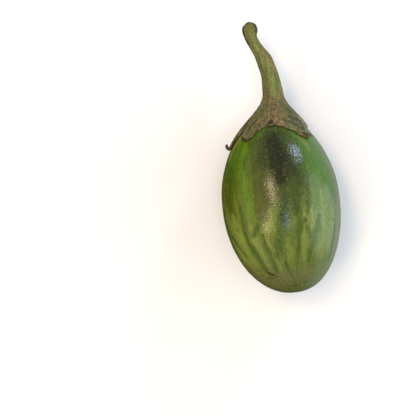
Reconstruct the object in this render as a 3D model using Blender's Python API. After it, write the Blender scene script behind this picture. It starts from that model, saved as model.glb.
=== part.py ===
"""A green eggplant lying on its side, as picked: the fruit, and the calyx with the stem that grew from it.

Metres, +Z up. The fruit's long axis runs along +Y, level, from the blossom end to the stem. The origin is the
middle of the small flat spot that the fruit rests on, below its widest section.

A place on the fruit is given by a station t, the distance along the axis from the widest section towards the
stem, and by an angle theta round the axis, from straight up (0) towards +X (90 degrees).
"""

import math

import bmesh
import bpy
import numpy as np
from mathutils import Vector

MM = 0.001

# Fruit. Its radius is FRUIT_RADIUS * (1 - x**m)**q, with x the share of the way to that end
FRUIT_RADIUS = 31.0 * MM
BLOSSOM_LENGTH = 47.3 * MM  # widest section to the blossom end
SHOULDER_LENGTH = 56.0 * MM  # widest section to the apex, under the calyx
BLOSSOM_BLUNTNESS = (2.0, 0.467)  # m and q
SHOULDER_BLUNTNESS = (2.2, 0.96)
BLOSSOM_LEAN = 1.8 * MM  # how far each end of the fruit's middle line leans towards +X
STEM_LEAN = 3.4 * MM
STEM_LEAN_FROM, STEM_LEAN_TO = 33.0 * MM, 60.0 * MM

# The spot pressed flat where the fruit bears on the table
FLAT_DEPTH = 0.8 * MM
AXIS_HEIGHT = FRUIT_RADIUS - FLAT_DEPTH

# Calyx: a leathery cap over the shoulder. Its five lobes reach further from the apex than the sinuses between.
CALYX_GAP = 0.3 * MM
CALYX_THICKNESS = 0.8 * MM
MARGIN_ROUNDING = 0.35 * MM
MIDRIB_HEIGHT = 0.2 * MM
MIDRIB_WIDTH = 7.0  # degrees
# Each lobe: middle angle, half-width of its blunt end, reach, where its tip starts to curl up, radius of the curl
LOBES = (
    (-155.0, 2.0, 33.0 * MM, 28.0 * MM, 12.0 * MM),
    (-91.0, 3.0, 38.2 * MM, 32.6 * MM, 1.6 * MM),
    (-43.0, 2.0, 31.9 * MM, 27.0 * MM, 20.0 * MM),
    (48.0, 7.0, 35.4 * MM, 32.2 * MM, 1.7 * MM),
    (127.0, 2.0, 34.0 * MM, 30.0 * MM, 5.0 * MM),
)
CURL_LIMIT = math.radians(165.0)  # a curl turns this far and then runs straight on
# Each sinus: angle, reach, and the powers by which the margin leaves it, towards lower and higher angles
SINUSES = (
    (-123.0, 26.0 * MM, 0.9, 1.1),
    (-59.0, 26.4 * MM, 0.7, 1.0),
    (-4.0, 23.6 * MM, 2.0, 1.6),
    (78.0, 25.4 * MM, 2.8, 1.4),
    (168.0, 24.5 * MM, 1.4, 1.6),
)

# Flare: the calyx leaves the skin at this distance from the apex and sweeps up into the neck
FLARE_FROM = 17.0 * MM
FLARE_PULLS = 9.0 * MM, 5.5 * MM  # lengths of the sweep's handles at the skin and at the neck
NECK_STATION = 60.0 * MM

# Stem: sideways place, station, height above the fruit's axis, and radius
STEM = (
    (3.4 * MM, 60.0 * MM, 0.0 * MM, 5.2 * MM),
    (3.2 * MM, 65.0 * MM, 0.4 * MM, 4.7 * MM),
    (2.4 * MM, 70.5 * MM, 1.0 * MM, 4.35 * MM),
    (1.0 * MM, 75.7 * MM, 1.6 * MM, 4.15 * MM),
    (-1.1 * MM, 80.5 * MM, 1.8 * MM, 3.35 * MM),
    (-2.9 * MM, 84.3 * MM, 1.5 * MM, 3.05 * MM),
    (-4.2 * MM, 88.0 * MM, 0.7 * MM, 3.15 * MM),
    (-4.5 * MM, 91.5 * MM, -0.3 * MM, 3.75 * MM),
    (-4.4 * MM, 94.5 * MM, -1.4 * MM, 3.75 * MM),
    (-4.5 * MM, 96.1 * MM, -2.0 * MM, 3.1 * MM),
)
STEM_RIDGES = 5
STEM_RIDGE_SHARE = 0.035  # height of the stem's ridges as a share of its radius
STEM_RIDGE_TURN = -15.0  # degrees
# The scar where the stem broke off: each ring's share of the end's radius, and its height past the last station
SCAR_RINGS = ((0.82, 0.50 * MM), (0.55, 0.60 * MM), (0.28, 0.35 * MM))

# Facets
FRUIT_SIDES, FRUIT_ROWS = 60, 38
CALYX_SIDES = 90
UNDERSIDE_ROWS, OUTSIDE_ROWS, FLARE_ROWS, STEM_ROWS = 10, 10, 7, 20
MARGIN_CROWDING = 1.5  # above 1, rows stand closer together near the margin
SKIN_TABLE_ROWS = 400
SLOPE_STEP = 0.2 * MM  # distance each way over which the skin's slope is measured
STEM_STEP = 0.5 / STEM_ROWS  # share of the stem each way over which its direction is measured

FINISHES = {  # colour and roughness
    "fruit": ((0.12, 0.18, 0.03), 0.28),
    "calyx_and_stem": ((0.18, 0.16, 0.07), 0.7),
}


def smooth_step(value, low, high):
    """0 below low and 1 above high, with an S between."""
    share = np.clip((value - low) / (high - low), 0.0, 1.0)
    return share * share * (3.0 - 2.0 * share)


def fruit_radius(t):
    """Radius of the plain egg shape at station t."""
    length, (m, q) = (BLOSSOM_LENGTH, BLOSSOM_BLUNTNESS) if t < 0 else (SHOULDER_LENGTH, SHOULDER_BLUNTNESS)
    return FRUIT_RADIUS * max(0.0, 1.0 - abs(t / length) ** m) ** q


def lean(t):
    """Sideways shift of the fruit's middle line at station t."""
    blossom = BLOSSOM_LEAN * max(0.0, -t / BLOSSOM_LENGTH) ** 3
    return blossom + STEM_LEAN * smooth_step(t, STEM_LEAN_FROM, STEM_LEAN_TO)


def place(t, radius, theta):
    """The point at station t, this far from the middle line, at angle theta. Heights count from the axis."""
    return Vector((lean(t) + radius * math.sin(theta), t, radius * math.cos(theta)))


def pressed(point):
    """The point, or where it would be below the table, the place on the table straight above it."""
    return Vector((point.x, point.y, max(point.z, -AXIS_HEIGHT)))


def shoulder_table():
    """Stations, radii and distances from the apex along the skin, down the shoulder to the widest section."""
    turn = np.linspace(0.0, math.pi / 2, SKIN_TABLE_ROWS)
    stations = SHOULDER_LENGTH * np.cos(turn)
    radii = np.array([fruit_radius(t) for t in stations])
    steps = np.hypot(np.diff(stations), np.diff(radii))
    return stations, radii, np.concatenate([[0.0], np.cumsum(steps)])


STATIONS, RADII, REACHES = shoulder_table()


def on_skin(reach):
    """Station, radius and downhill direction of the skin at this distance from the apex along it."""
    t, radius = (float(np.interp(reach, REACHES, column)) for column in (STATIONS, RADII))
    steps = (reach - SLOPE_STEP, reach + SLOPE_STEP)
    down, out = (float(np.diff(np.interp(steps, REACHES, column))[0]) for column in (STATIONS, RADII))
    length = math.hypot(down, out)
    return t, radius, down / length, out / length


def turned_from(theta, other):
    """Signed angle from other to theta, in degrees, within half a turn."""
    return (math.degrees(theta) - other + 180.0) % 360.0 - 180.0


def lobe_and_share(theta):
    """The lobe that theta lies in, its nearer sinus on that side, and how far theta is from sinus to blunt end."""
    sinus_before = min(SINUSES, key=lambda sinus: turned_from(theta, sinus[0]) % 360.0)
    sinus_after = min(SINUSES, key=lambda sinus: -turned_from(theta, sinus[0]) % 360.0)
    lobe = min(LOBES, key=lambda one: turned_from(math.radians(one[0]), sinus_before[0]) % 360.0)
    offset = turned_from(theta, lobe[0])
    sinus, power = (sinus_before, sinus_before[3]) if offset < 0.0 else (sinus_after, sinus_after[2])
    width = abs(turned_from(math.radians(sinus[0]), lobe[0]))
    share = min(1.0, (width - abs(offset)) / (width - lobe[1]))
    return lobe, sinus, share**power


def margin_reach(theta):
    """How far the calyx reaches from the apex, along the skin, at angle theta."""
    lobe, sinus, share = lobe_and_share(theta)
    return sinus[1] + (lobe[2] - sinus[1]) * share


def shell_point(theta, reach, lift):
    """Station and radius of a point of the calyx over the skin, where the tips of the lobes curl up."""
    lobe = lobe_and_share(theta)[0]
    curl_from, curl_radius = lobe[3:]
    t, radius, down, out = on_skin(min(reach, curl_from))
    past = max(0.0, reach - curl_from)
    turn = min(CURL_LIMIT, past / curl_radius)
    rest = past - turn * curl_radius
    along = (curl_radius - lift) * math.sin(turn) + rest * math.cos(turn)
    away = curl_radius - (curl_radius - lift) * math.cos(turn) + rest * math.sin(turn)
    return t + along * down + away * out, radius + along * out - away * down


def midrib(theta):
    """Extra thickness along the middle of each lobe."""
    offset = min(abs(turned_from(theta, lobe[0])) for lobe in LOBES)
    return MIDRIB_HEIGHT * math.exp(-((offset / MIDRIB_WIDTH) ** 2))


def bezier(points, share):
    """A cubic curve through the first and last of four points."""
    weights = (1 - share) ** 3, 3 * share * (1 - share) ** 2, 3 * share**2 * (1 - share), share**3
    return tuple(sum(w * p[axis] for w, p in zip(weights, points)) for axis in range(2))


def calyx_meridian(theta):
    """The section of the calyx at angle theta: from the apex, under it to the margin, and over it to the neck."""
    reach = margin_reach(theta)
    top = CALYX_GAP + CALYX_THICKNESS + midrib(theta)
    section = []
    for row in range(1, UNDERSIDE_ROWS + 1):
        share = 1.0 - (1.0 - row / UNDERSIDE_ROWS) ** MARGIN_CROWDING
        section.append(shell_point(theta, (reach - MARGIN_ROUNDING) * share, CALYX_GAP))
    section.append(shell_point(theta, reach, (CALYX_GAP + top) / 2))
    for row in range(OUTSIDE_ROWS + 1):
        share = (row / OUTSIDE_ROWS) ** MARGIN_CROWDING
        here = (reach - MARGIN_ROUNDING) * (1.0 - share) + FLARE_FROM * share
        section.append(shell_point(theta, here, top))
    section += flare(theta, section[-1])[1:]
    return section


def stem_ridge(theta):
    """The stem's ridges, which run on from the lobes, as a factor on its radius."""
    return 1.0 + STEM_RIDGE_SHARE * math.cos(STEM_RIDGES * (theta - math.radians(STEM_RIDGE_TURN)))


def flare(theta, start):
    """The sweep from the calyx's outside, at start, up to the neck."""
    _, _, down, out = on_skin(FLARE_FROM)
    neck = NECK_STATION, STEM[0][3] * stem_ridge(theta)
    handles = (
        start,
        (start[0] - FLARE_PULLS[0] * down, start[1] - FLARE_PULLS[0] * out),
        (neck[0] - FLARE_PULLS[1], neck[1]),
        neck,
    )
    return [bezier(handles, row / FLARE_ROWS) for row in range(FLARE_ROWS + 1)]


def stem_station(share):
    """The stem's centre and radius at this share of its stations, on a Catmull-Rom curve through them."""
    stations = np.array(STEM)
    before_neck = stations[0] - (0.0, stations[1, 1] - stations[0, 1], 0.0, 0.0)
    stations = np.vstack([before_neck, stations, stations[-1]])
    first = min(int(share * (len(STEM) - 1)), len(STEM) - 2)
    local = share * (len(STEM) - 1) - first
    before, low, high, after = stations[first : first + 4]
    value = 0.5 * (
        2 * low
        + (high - before) * local
        + (2 * before - 5 * low + 4 * high - after) * local**2
        + (3 * low - before - 3 * high + after) * local**3
    )
    x, y, z, radius = (float(number) for number in value)
    return Vector((x, y, z)), radius


def stem_direction(share):
    """The way the stem's middle line runs, towards its end."""
    ahead, _ = stem_station(min(1.0, share + STEM_STEP))
    behind, _ = stem_station(share - STEM_STEP)
    return (ahead - behind).normalized()


def stem_ring(centre, along, radius, angles):
    """A ring of the stem's section, square to its middle line."""
    side = along.cross(Vector((0.0, 0.0, 1.0))).normalized()
    up = side.cross(along)
    return [
        centre + radius * stem_ridge(theta) * (math.sin(theta) * side + math.cos(theta) * up) for theta in angles
    ]


def stem_rings(angles):
    """The stem's rings past the neck, with the scar's rings, and the middle of the scar."""
    rings = []
    for row in range(1, STEM_ROWS + 1):
        centre, radius = stem_station(row / STEM_ROWS)
        rings.append(stem_ring(centre, stem_direction(row / STEM_ROWS), radius, angles))
    along = stem_direction(1.0)
    for share, height in SCAR_RINGS:
        rings.append(stem_ring(centre + height * along, along, radius * share, angles))
    return rings, centre + SCAR_RINGS[-1][1] * along


def turned_object(name, first_pole, rings, last_pole):
    """An object on the fruit's axis whose skin runs over closed rings of points from one pole to the other."""
    build = bmesh.new()
    poles = build.verts.new(first_pole), build.verts.new(last_pole)
    made = [[build.verts.new(point) for point in ring] for ring in rings]
    count = len(made[0])
    for index in range(count):
        after = (index + 1) % count
        build.faces.new((poles[0], made[0][index], made[0][after]))
        build.faces.new((poles[1], made[-1][after], made[-1][index]))
        for low, high in zip(made, made[1:]):
            build.faces.new((low[after], low[index], high[index], high[after]))
    bmesh.ops.recalc_face_normals(build, faces=build.faces)
    mesh = bpy.data.meshes.new(name)
    build.to_mesh(mesh)
    build.free()
    mesh.shade_smooth()
    mesh.materials.append(material_for(name))
    turned = bpy.data.objects.new(name, mesh)
    turned.location.z = AXIS_HEIGHT
    bpy.context.scene.collection.objects.link(turned)


def material_for(name):
    """A plain finish for the node of this name."""
    colour, roughness = FINISHES[name]
    material = bpy.data.materials.new(name)
    material.use_nodes = True
    shader = material.node_tree.nodes["Principled BSDF"]
    shader.inputs["Base Color"].default_value = (*colour, 1.0)
    shader.inputs["Roughness"].default_value = roughness
    shader.inputs["Metallic"].default_value = 0.0
    return material


def angles_round(count):
    """Even angles round the axis, from straight up."""
    return [2.0 * math.pi * index / count for index in range(count)]


def build_fruit():
    """The fruit: rings round the middle line, pressed flat where they would go below the table."""
    angles = angles_round(FRUIT_SIDES)
    rings = []
    for row in range(1, FRUIT_ROWS + 1):
        turn = math.pi * row / (FRUIT_ROWS + 1)
        length = BLOSSOM_LENGTH if turn < math.pi / 2 else SHOULDER_LENGTH
        t = -length * math.cos(turn)
        rings.append([pressed(place(t, fruit_radius(t), theta)) for theta in angles])
    turned_object("fruit", place(-BLOSSOM_LENGTH, 0.0, 0.0), rings, place(SHOULDER_LENGTH, 0.0, 0.0))


def build_calyx_and_stem():
    """The calyx and stem as one closed skin, from under the apex round the margin to the broken end."""
    angles = angles_round(CALYX_SIDES)
    sections = [calyx_meridian(theta) for theta in angles]
    rings = [[place(*point, theta) for point, theta in zip(row, angles)] for row in zip(*sections)]
    stem, end = stem_rings(angles)
    under_apex = place(SHOULDER_LENGTH + CALYX_GAP, 0.0, 0.0)
    turned_object("calyx_and_stem", under_apex, rings + stem, end)


def main():
    """Clears the scene and builds both sub-parts."""
    for old in list(bpy.data.objects):
        bpy.data.objects.remove(old)
    build_fruit()
    build_calyx_and_stem()


main()
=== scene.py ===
# %% [markdown]
# A green eggplant, lying on its side
#
# The real thing is one fruit, picked with the calyx and the stem that grew on it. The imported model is
# loaded first and stays as it is: it fixes the size and the place of the two pieces. The cells below
# dress them with finer skins, then light them and look at them. Lengths are in metres, and MM turns
# millimetres into them.

# %% Load the frame
import math

import bpy
import numpy as np
from mathutils import Matrix, Vector


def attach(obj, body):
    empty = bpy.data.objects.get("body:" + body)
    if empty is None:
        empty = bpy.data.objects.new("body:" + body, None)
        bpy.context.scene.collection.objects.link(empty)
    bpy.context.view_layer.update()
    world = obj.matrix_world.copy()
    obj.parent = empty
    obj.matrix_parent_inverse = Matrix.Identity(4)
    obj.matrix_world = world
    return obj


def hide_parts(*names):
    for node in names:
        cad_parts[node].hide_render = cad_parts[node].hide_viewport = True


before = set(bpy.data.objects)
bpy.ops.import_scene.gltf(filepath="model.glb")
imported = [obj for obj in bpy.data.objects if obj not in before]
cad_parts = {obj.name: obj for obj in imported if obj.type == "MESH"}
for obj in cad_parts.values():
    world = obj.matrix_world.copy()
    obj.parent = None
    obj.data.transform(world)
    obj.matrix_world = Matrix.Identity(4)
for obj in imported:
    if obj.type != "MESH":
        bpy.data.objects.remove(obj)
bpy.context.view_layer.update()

MM = 0.001
print("nodes to dress:", sorted(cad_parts))

# %% [markdown]
# The camera
#
# The view is straight down, with the fruit a little right of the middle and turned clockwise. Perspective
# matters on a thing this close: a lens that takes in 27 degrees from 45 cm over the fruit's axis shows
# slightly less of its flanks than a far one would. The camera is aimed by a small turn about the vertical
# alone.

# %% Camera
AXIS_HEIGHT = 30.2 * MM
CAMERA_OVER_AXIS = 450.0 * MM
PICTURE_WIDTH = 219.4 * MM  # what the picture takes in at the height of the axis
CLOCKWISE = math.radians(7.37)
MIDDLE_RIGHT, MIDDLE_UP = -38.4 * MM, -2.3 * MM  # the picture's middle from the origin, along its own edges

turned = Matrix.Rotation(-CLOCKWISE, 4, "Z")
lens = bpy.data.cameras.new("camera")
lens.angle = 2.0 * math.atan(PICTURE_WIDTH / 2.0 / CAMERA_OVER_AXIS)
camera = bpy.data.objects.new("camera", lens)
middle = turned @ Vector((MIDDLE_RIGHT, MIDDLE_UP, AXIS_HEIGHT + CAMERA_OVER_AXIS))
camera.matrix_world = Matrix.Translation(middle) @ turned
bpy.context.scene.collection.objects.link(camera)
bpy.context.scene.camera = camera
bpy.context.scene.view_settings.view_transform = "Standard"
print("field of view:", round(math.degrees(lens.angle), 1), "degrees")

# %% [markdown]
# The shape of the fruit
#
# An eggplant is close to a turned form: a blunt blossom end, a fuller shoulder, and a middle line that
# leans a little at both ends. The same few sizes as in the solid model give the fine skin its form, so
# both agree. A place on the fruit is a station t, the distance along the axis from the widest section
# towards the stem, and an angle theta round it, from straight up towards +X.

# %% Fruit formulas
FRUIT_RADIUS = 31.0 * MM
BLOSSOM_LENGTH, SHOULDER_LENGTH = 47.3 * MM, 56.0 * MM
BLOSSOM_BLUNTNESS, SHOULDER_BLUNTNESS = (2.0, 0.467), (2.2, 0.96)
BLOSSOM_LEAN, STEM_LEAN = 1.8 * MM, 3.4 * MM
STEM_LEAN_FROM, STEM_LEAN_TO = 33.0 * MM, 60.0 * MM
ALONG_STEPS = 2000


def smooth_step(value, low, high):
    """0 below low and 1 above high, with an S between."""
    share = np.clip((value - low) / (high - low), 0.0, 1.0)
    return share * share * (3.0 - 2.0 * share)


def fruit_radius(t):
    """Radius of the plain egg shape at station t."""
    ends = ((-t / BLOSSOM_LENGTH, BLOSSOM_BLUNTNESS), (t / SHOULDER_LENGTH, SHOULDER_BLUNTNESS))
    shares = [(1.0 - np.clip(x, 0.0, 1.0) ** m) ** q for x, (m, q) in ends]
    return FRUIT_RADIUS * np.minimum(*shares)


def place(t, radius, theta):
    """Points at these stations, this far from the leaning middle line, at these angles."""
    lean = BLOSSOM_LEAN * np.clip(-t / BLOSSOM_LENGTH, 0.0, None) ** 3
    lean = lean + STEM_LEAN * smooth_step(t, STEM_LEAN_FROM, STEM_LEAN_TO)
    x, y, z = np.broadcast_arrays(lean + radius * np.sin(theta), t, AXIS_HEIGHT + radius * np.cos(theta))
    return np.stack([x, y, z], axis=-1)


meridian_turn = np.linspace(0.0, math.pi, ALONG_STEPS)
meridian_t = np.where(meridian_turn < math.pi / 2, SHOULDER_LENGTH, BLOSSOM_LENGTH) * np.cos(meridian_turn)
meridian_radius = fruit_radius(meridian_t)
from_apex = np.hypot(np.diff(meridian_t), np.diff(meridian_radius)).cumsum()
from_apex = np.concatenate([[0.0], from_apex])
APEX_TO_WIDEST = np.interp(0.0, -meridian_t, from_apex)


def along_skin(t):
    """Distance along the skin from the widest section, positive towards the stem."""
    return APEX_TO_WIDEST - np.interp(-t, -meridian_t, from_apex)


print("skin from apex to blossom end:", round(from_apex[-1] / MM, 1), "mm")

# %% [markdown]
# Helpers for a fine skin
#
# Both pieces are turned forms, so one function makes a closed mesh from rings of points between two
# poles. Small swellings come from a smooth random field, a sum of waves in many directions with a fixed
# seed.

# %% Mesh helpers
WAVES = 28


def ripple(points, size, seed):
    """A smooth random field, mostly between -1 and 1, whose hills stand about this far apart."""
    draw = np.random.default_rng(seed)
    ways = draw.normal(size=(WAVES, 3))
    ways /= np.linalg.norm(ways, axis=1, keepdims=True) * size * draw.uniform(0.7, 1.5, (WAVES, 1))
    waves = np.sin(2.0 * math.pi * (points @ ways.T + draw.uniform(0.0, 1.0, WAVES)))
    return waves.sum(axis=-1) / math.sqrt(WAVES)


def turned_mesh(name, first_pole, rings, last_pole):
    """A closed object whose skin runs over rings of points (rows x sides x 3) from one pole to the other."""
    rows, sides = rings.shape[:2]
    points = np.vstack([[first_pole], rings.reshape(-1, 3), [last_pole]])
    index = 1 + np.arange(rows * sides).reshape(rows, sides)
    after = np.roll(index, -1, axis=1)
    quads = np.stack([index[:-1], after[:-1], after[1:], index[1:]], axis=-1).reshape(-1, 4)
    first_cap = [(0, b, a) for a, b in zip(index[0], after[0])]
    last_cap = [(len(points) - 1, a, b) for a, b in zip(index[-1], after[-1])]
    mesh = bpy.data.meshes.new(name)
    mesh.from_pydata(points, [], quads.tolist() + first_cap + last_cap)
    mesh.shade_smooth()
    piece = bpy.data.objects.new(name, mesh)
    bpy.context.scene.collection.objects.link(piece)
    print(name, "has", 2 * len(quads) + 2 * sides, "triangles")
    return piece


# %% [markdown]
# The fine skin of the fruit
#
# Seen close, the skin isn't perfectly round: it dips by a tenth of a millimetre or two between the
# calyx's lobes and here and there, which makes the reflections of the lights waver. These dips are real
# geometry, and they only go inwards, so the fruit keeps its size. A small pit with a corky scar is left
# where the flower fell off. The underside keeps the flat spot on which the fruit bears.

# %% Fruit mesh
SKIN_SIDES, SKIN_ROWS = 256, 200
FLUTES, FLUTE_DEPTH = 5, 0.12 * MM
FLUTE_ANGLE = math.radians(-4.0)  # the first flute runs down from the calyx's front sinus
DENTS = ((17.0 * MM, 0.13 * MM, 3), (6.0 * MM, 0.035 * MM, 4))  # size, depth and seed
PIT_DEPTH, PIT_RADIUS = 0.9 * MM, 2.6 * MM

skin_theta = 2.0 * math.pi * np.arange(SKIN_SIDES) / SKIN_SIDES
skin_turn = math.pi * np.arange(1, SKIN_ROWS + 1) / (SKIN_ROWS + 1)
skin_t = -np.where(skin_turn < math.pi / 2, BLOSSOM_LENGTH, SHOULDER_LENGTH) * np.cos(skin_turn)
skin_t, skin_theta = np.meshgrid(skin_t, skin_theta, indexing="ij")
skin_radius = fruit_radius(skin_t)
plain = place(skin_t, skin_radius, skin_theta)
roundness = skin_radius / FRUIT_RADIUS
dip = FLUTE_DEPTH * (0.5 + 0.5 * np.cos(FLUTES * (skin_theta - FLUTE_ANGLE))) * roundness**2
for size, depth, seed in DENTS:
    dip = dip + depth * np.clip(0.5 + 0.5 * ripple(plain, size, seed), 0.0, 1.0) * roundness
pit = PIT_DEPTH * np.exp(-((skin_radius / PIT_RADIUS) ** 2)) * (skin_t < 0.0)
skin_rings = place(skin_t + pit, skin_radius - dip, skin_theta)
skin_rings[..., 2] = np.maximum(skin_rings[..., 2], 0.0)
blossom_pole = place(-BLOSSOM_LENGTH + PIT_DEPTH, 0.0, 0.0)
skin = turned_mesh("fruit_skin", blossom_pole, skin_rings, place(SHOULDER_LENGTH, 0.0, 0.0))
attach(skin, "root")
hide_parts("fruit")
print("deepest dip:", round(float(dip.max()) / MM, 2), "mm")

# %% [markdown]
# Helpers for brush strokes
#
# Colour patterns need to know where they are on the real surface, so each vertex carries numbers: its
# place along and round the skin, and how deep it lies in brush strokes, placed by hand, such as a streak
# or a blush. A material can read such numbers, and they stay on the mesh when it is turned or moved.

# %% Stroke helpers
FAR_OUTSIDE = -3.0  # the least depth that is noted


def note(piece, name, values):
    """Gives each vertex a number or a vector. The poles take the mean of the ring beside them."""
    ends = values[:1].mean(axis=1), values[-1:].mean(axis=1)
    flat = np.concatenate([ends[0], values.reshape(-1, *values.shape[2:]), ends[1]])
    kind, field = ("FLOAT", "value") if values.ndim == 2 else ("FLOAT_VECTOR", "vector")
    attribute = piece.data.attributes.new(name, kind, "POINT")
    attribute.data.foreach_set(field, flat.astype(np.float32).ravel())


def stroke_depth(strokes, along, theta, radius):
    """How deep each place lies in the nearest stroke: 1 on its middle line, 0 at its edge, less outside.

    A stroke is a row of (distance along in mm, angle in degrees, half-width in mm)."""
    depth = np.full(along.shape, FAR_OUTSIDE)
    for stroke in strokes:
        for start, end in zip(stroke, stroke[1:]):
            round_it = (np.radians(start[1]) - theta + math.pi) % (2.0 * math.pi) - math.pi
            x, y, wide = round_it * radius, start[0] * MM - along, start[2] * MM
            run_x, run_y = math.radians(end[1] - start[1]) * radius, (end[0] - start[0]) * MM
            wide_end = end[2] * MM
            share = np.clip(-(x * run_x + y * run_y) / (run_x**2 + run_y**2 + MM**4), 0.0, 1.0)
            distance = np.hypot(x + share * run_x, y + share * run_y)
            depth = np.maximum(depth, 1.0 - distance / (wide + share * (wide_end - wide)))
    return depth


def all_round(strokes, copies):
    """The strokes that show from above, and turned or mirrored copies of them for the sides that don't."""
    every = list(strokes)
    for way, turn, low, high in copies:
        for stroke in strokes:
            if low <= stroke[len(stroke) // 2][1] <= high:
                every.append(tuple((at, turn + way * degrees, wide) for at, degrees, wide in stroke))
    return every


# %% [markdown]
# Where the colours lie
#
# A striped eggplant is pale yellow-green with dark green streaks that run along it and meet at the
# blossom end. In this one the streaks melt into a dark purple-brown blush below the calyx, where it had
# the most sun. Noise alone would give the right character but not this fruit, so the main patches are
# brush strokes. Noise frays their edges later, in the material. The pale ones come first: patches
# between the streaks, with a painted highlight among them between the calyx's two left-hand lobes, a
# bright band down the left, and a painted sheen on the right, a pale grey-green that stands in for the
# broad reflection of the bright room on that side.

# %% Pale strokes on the skin
skin_strokes = {}
skin_strokes["pale_patch_and_highlight"] = (
    # painted highlight: this first stroke lightens the skin between the calyx's two left-hand lobes, for a
    # soft reflection there
    ((39, -62, 1.6), (36, -67, 2.6), (31, -72, 3.0), (26, -72, 1.6)),
    ((34, 32, 0.6), (30, 37, 1.3), (25, 39, 0.8)),
    ((-3, -59, 1.4), (-7, -58, 2.6), (-12, -57, 3.4), (-18, -54, 3.2), (-23, -49, 2.5), (-29, -46, 1.8)),
    ((-9, -38, 1.2), (-14, -35, 1.7), (-18, -36, 2.6), (-24, -33, 2.3), (-30, -31, 1.5)),
    ((-17, -23, 0.9), (-20, -21, 1.5), (-23, -18, 1.2)),
    ((-27, -19, 0.9), (-30, -18, 1.3), (-33, -17, 0.9)),
    ((-2, -15, 1.0), (-8, -14, 1.7), (-13, -13, 1.0)),
    ((-16, -3, 0.6), (-20, -3, 1.1), (-24, -3, 1.5), (-28, -3, 1.0)),
    ((-15, 14, 1.3), (-18, 14, 2.4), (-23, 14, 2.5), (-28, 12, 1.6)),
    ((7, 15, 0.6), (2, 16, 0.9), (-4, 15.5, 1.2), (-8, 15, 0.9)),
    ((-4, 24, 1.2), (-8, 26, 1.8), (-12, 24, 1.6), (-15, 21, 1.0)),
    ((3, 38, 1.4), (-5, 41, 2.6), (-12, 40, 3.2), (-20, 39, 3.2), (-28, 36, 2.0)),
    ((6, 5, 0.6), (1, 5, 0.9), (-5, 5, 0.8)),
    ((4, 11, 0.4), (-2, 12, 0.6), (-4, 12, 0.4)),
    ((-21, -68, 1.4), (-27, -60, 2.0), (-33, -52, 1.8)),
    ((-6, 60, 2.0), (-16, 62, 2.6), (-26, 60, 2.0)),
)
skin_strokes["bright_band"] = (
    ((36, -50, 2.0), (30, -43, 3.6), (22, -40, 3.6), (14, -38, 3.2), (5, -36, 3.6), (-3, -37, 2.4)),
)
# painted sheen: pale grey-green strokes for the broad reflection of the bright room along the right side
skin_strokes["right_sheen"] = (
    ((4, 45, 2.4), (-3, 45, 4.8), (-8, 46, 6.4), (-13, 47, 6.6), (-18, 48, 5.4), (-24, 49, 3.2)),
)
print(sum(len(strokes) for strokes in skin_strokes.values()), "strokes so far")

# %% [markdown]
# The green streaks are darker than the ground. They run along the fruit and draw together towards the blossom
# end, and a broader deep green lies round the blush.

# %% Green strokes on the skin
skin_strokes["dark_streak"] = (
    (
        (4, -4, 2.0), (-2, -4, 3.2), (-7, -6, 3.0), (-13, -8, 3.0), (-17, -11, 3.6), (-21, -14, 3.0),
        (-26, -16, 1.6),
    ),
    ((-14, -27, 0.8), (-18, -26, 1.4), (-24, -25, 1.8), (-30, -23, 1.7), (-34, -22, 0.8)),
    ((-16, -46, 0.9), (-20, -43, 1.6), (-25, -39, 2.0), (-30, -37, 1.8), (-34, -36, 0.9)),
    ((-3, 10, 1.4), (-10, 10, 1.6), (-15, 9, 1.5), (-20, 8, 0.8), (-25, 6, 1.0), (-31, 4.5, 0.7)),
    ((-8, 32, 1.3), (-14, 28, 2.4), (-19, 25, 1.9), (-24, 21, 1.5), (-30, 18, 0.9)),
    ((-13, 18, 0.9), (-16, 20, 1.5), (-19, 22, 1.2)),
    ((-8, -76, 1.4), (-14, -70, 1.5), (-19, -63, 1.0), (-25, -57, 0.6)),
    ((-12, 55, 0.6), (-18, 55, 1.2), (-25, 54, 1.4), (-32, 54, 0.8)),
    ((0, -46, 1.4), (-8, -46, 1.7), (-14, -45, 1.3)),
    ((-9, -29, 1.3), (-12, -33, 1.8), (-14, -37, 1.0)),
    ((13, 26, 0.8), (6, 23, 1.3), (-3, 21, 1.2), (-6, 19, 0.7)),
    ((-29, -9, 0.6), (-33, -6, 0.8), (-37, -5, 0.5)),
)
skin_strokes["lower_green"] = (
    ((-12, 1, 3.0), (-18, 3, 6.5), (-25, 2, 8.0), (-32, 0, 7.0)),
    ((-30, 22, 3.0), (-36, 18, 6.0), (-43, 10, 7.0)),
)
skin_strokes["deep_green"] = (
    (
        (37, 9, 2.2), (33, 13, 3.4), (28, 16, 4.5), (22, 13, 6.0), (15, 11, 7.0), (9, 11, 6.5), (3, 8, 5.5),
        (-4, 8, 3.0),
    ),
    ((38, -12, 1.6), (34, -14, 3.2), (30, -14, 4.0)),
    ((41, -3, 1.8), (37, -3, 2.8), (33, -3, 3.4)),
    ((10, -1, 3.0), (4, -1, 3.6), (-2, -1, 3.2), (-8, -3, 2.0)),
)
print(sum(len(strokes) for strokes in skin_strokes.values()), "strokes so far")

# %% [markdown]
# The blush is darkest down its middle and thins out through a halo. An olive mottle lies on its left, and a
# bronze patch on the left flank.

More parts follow.
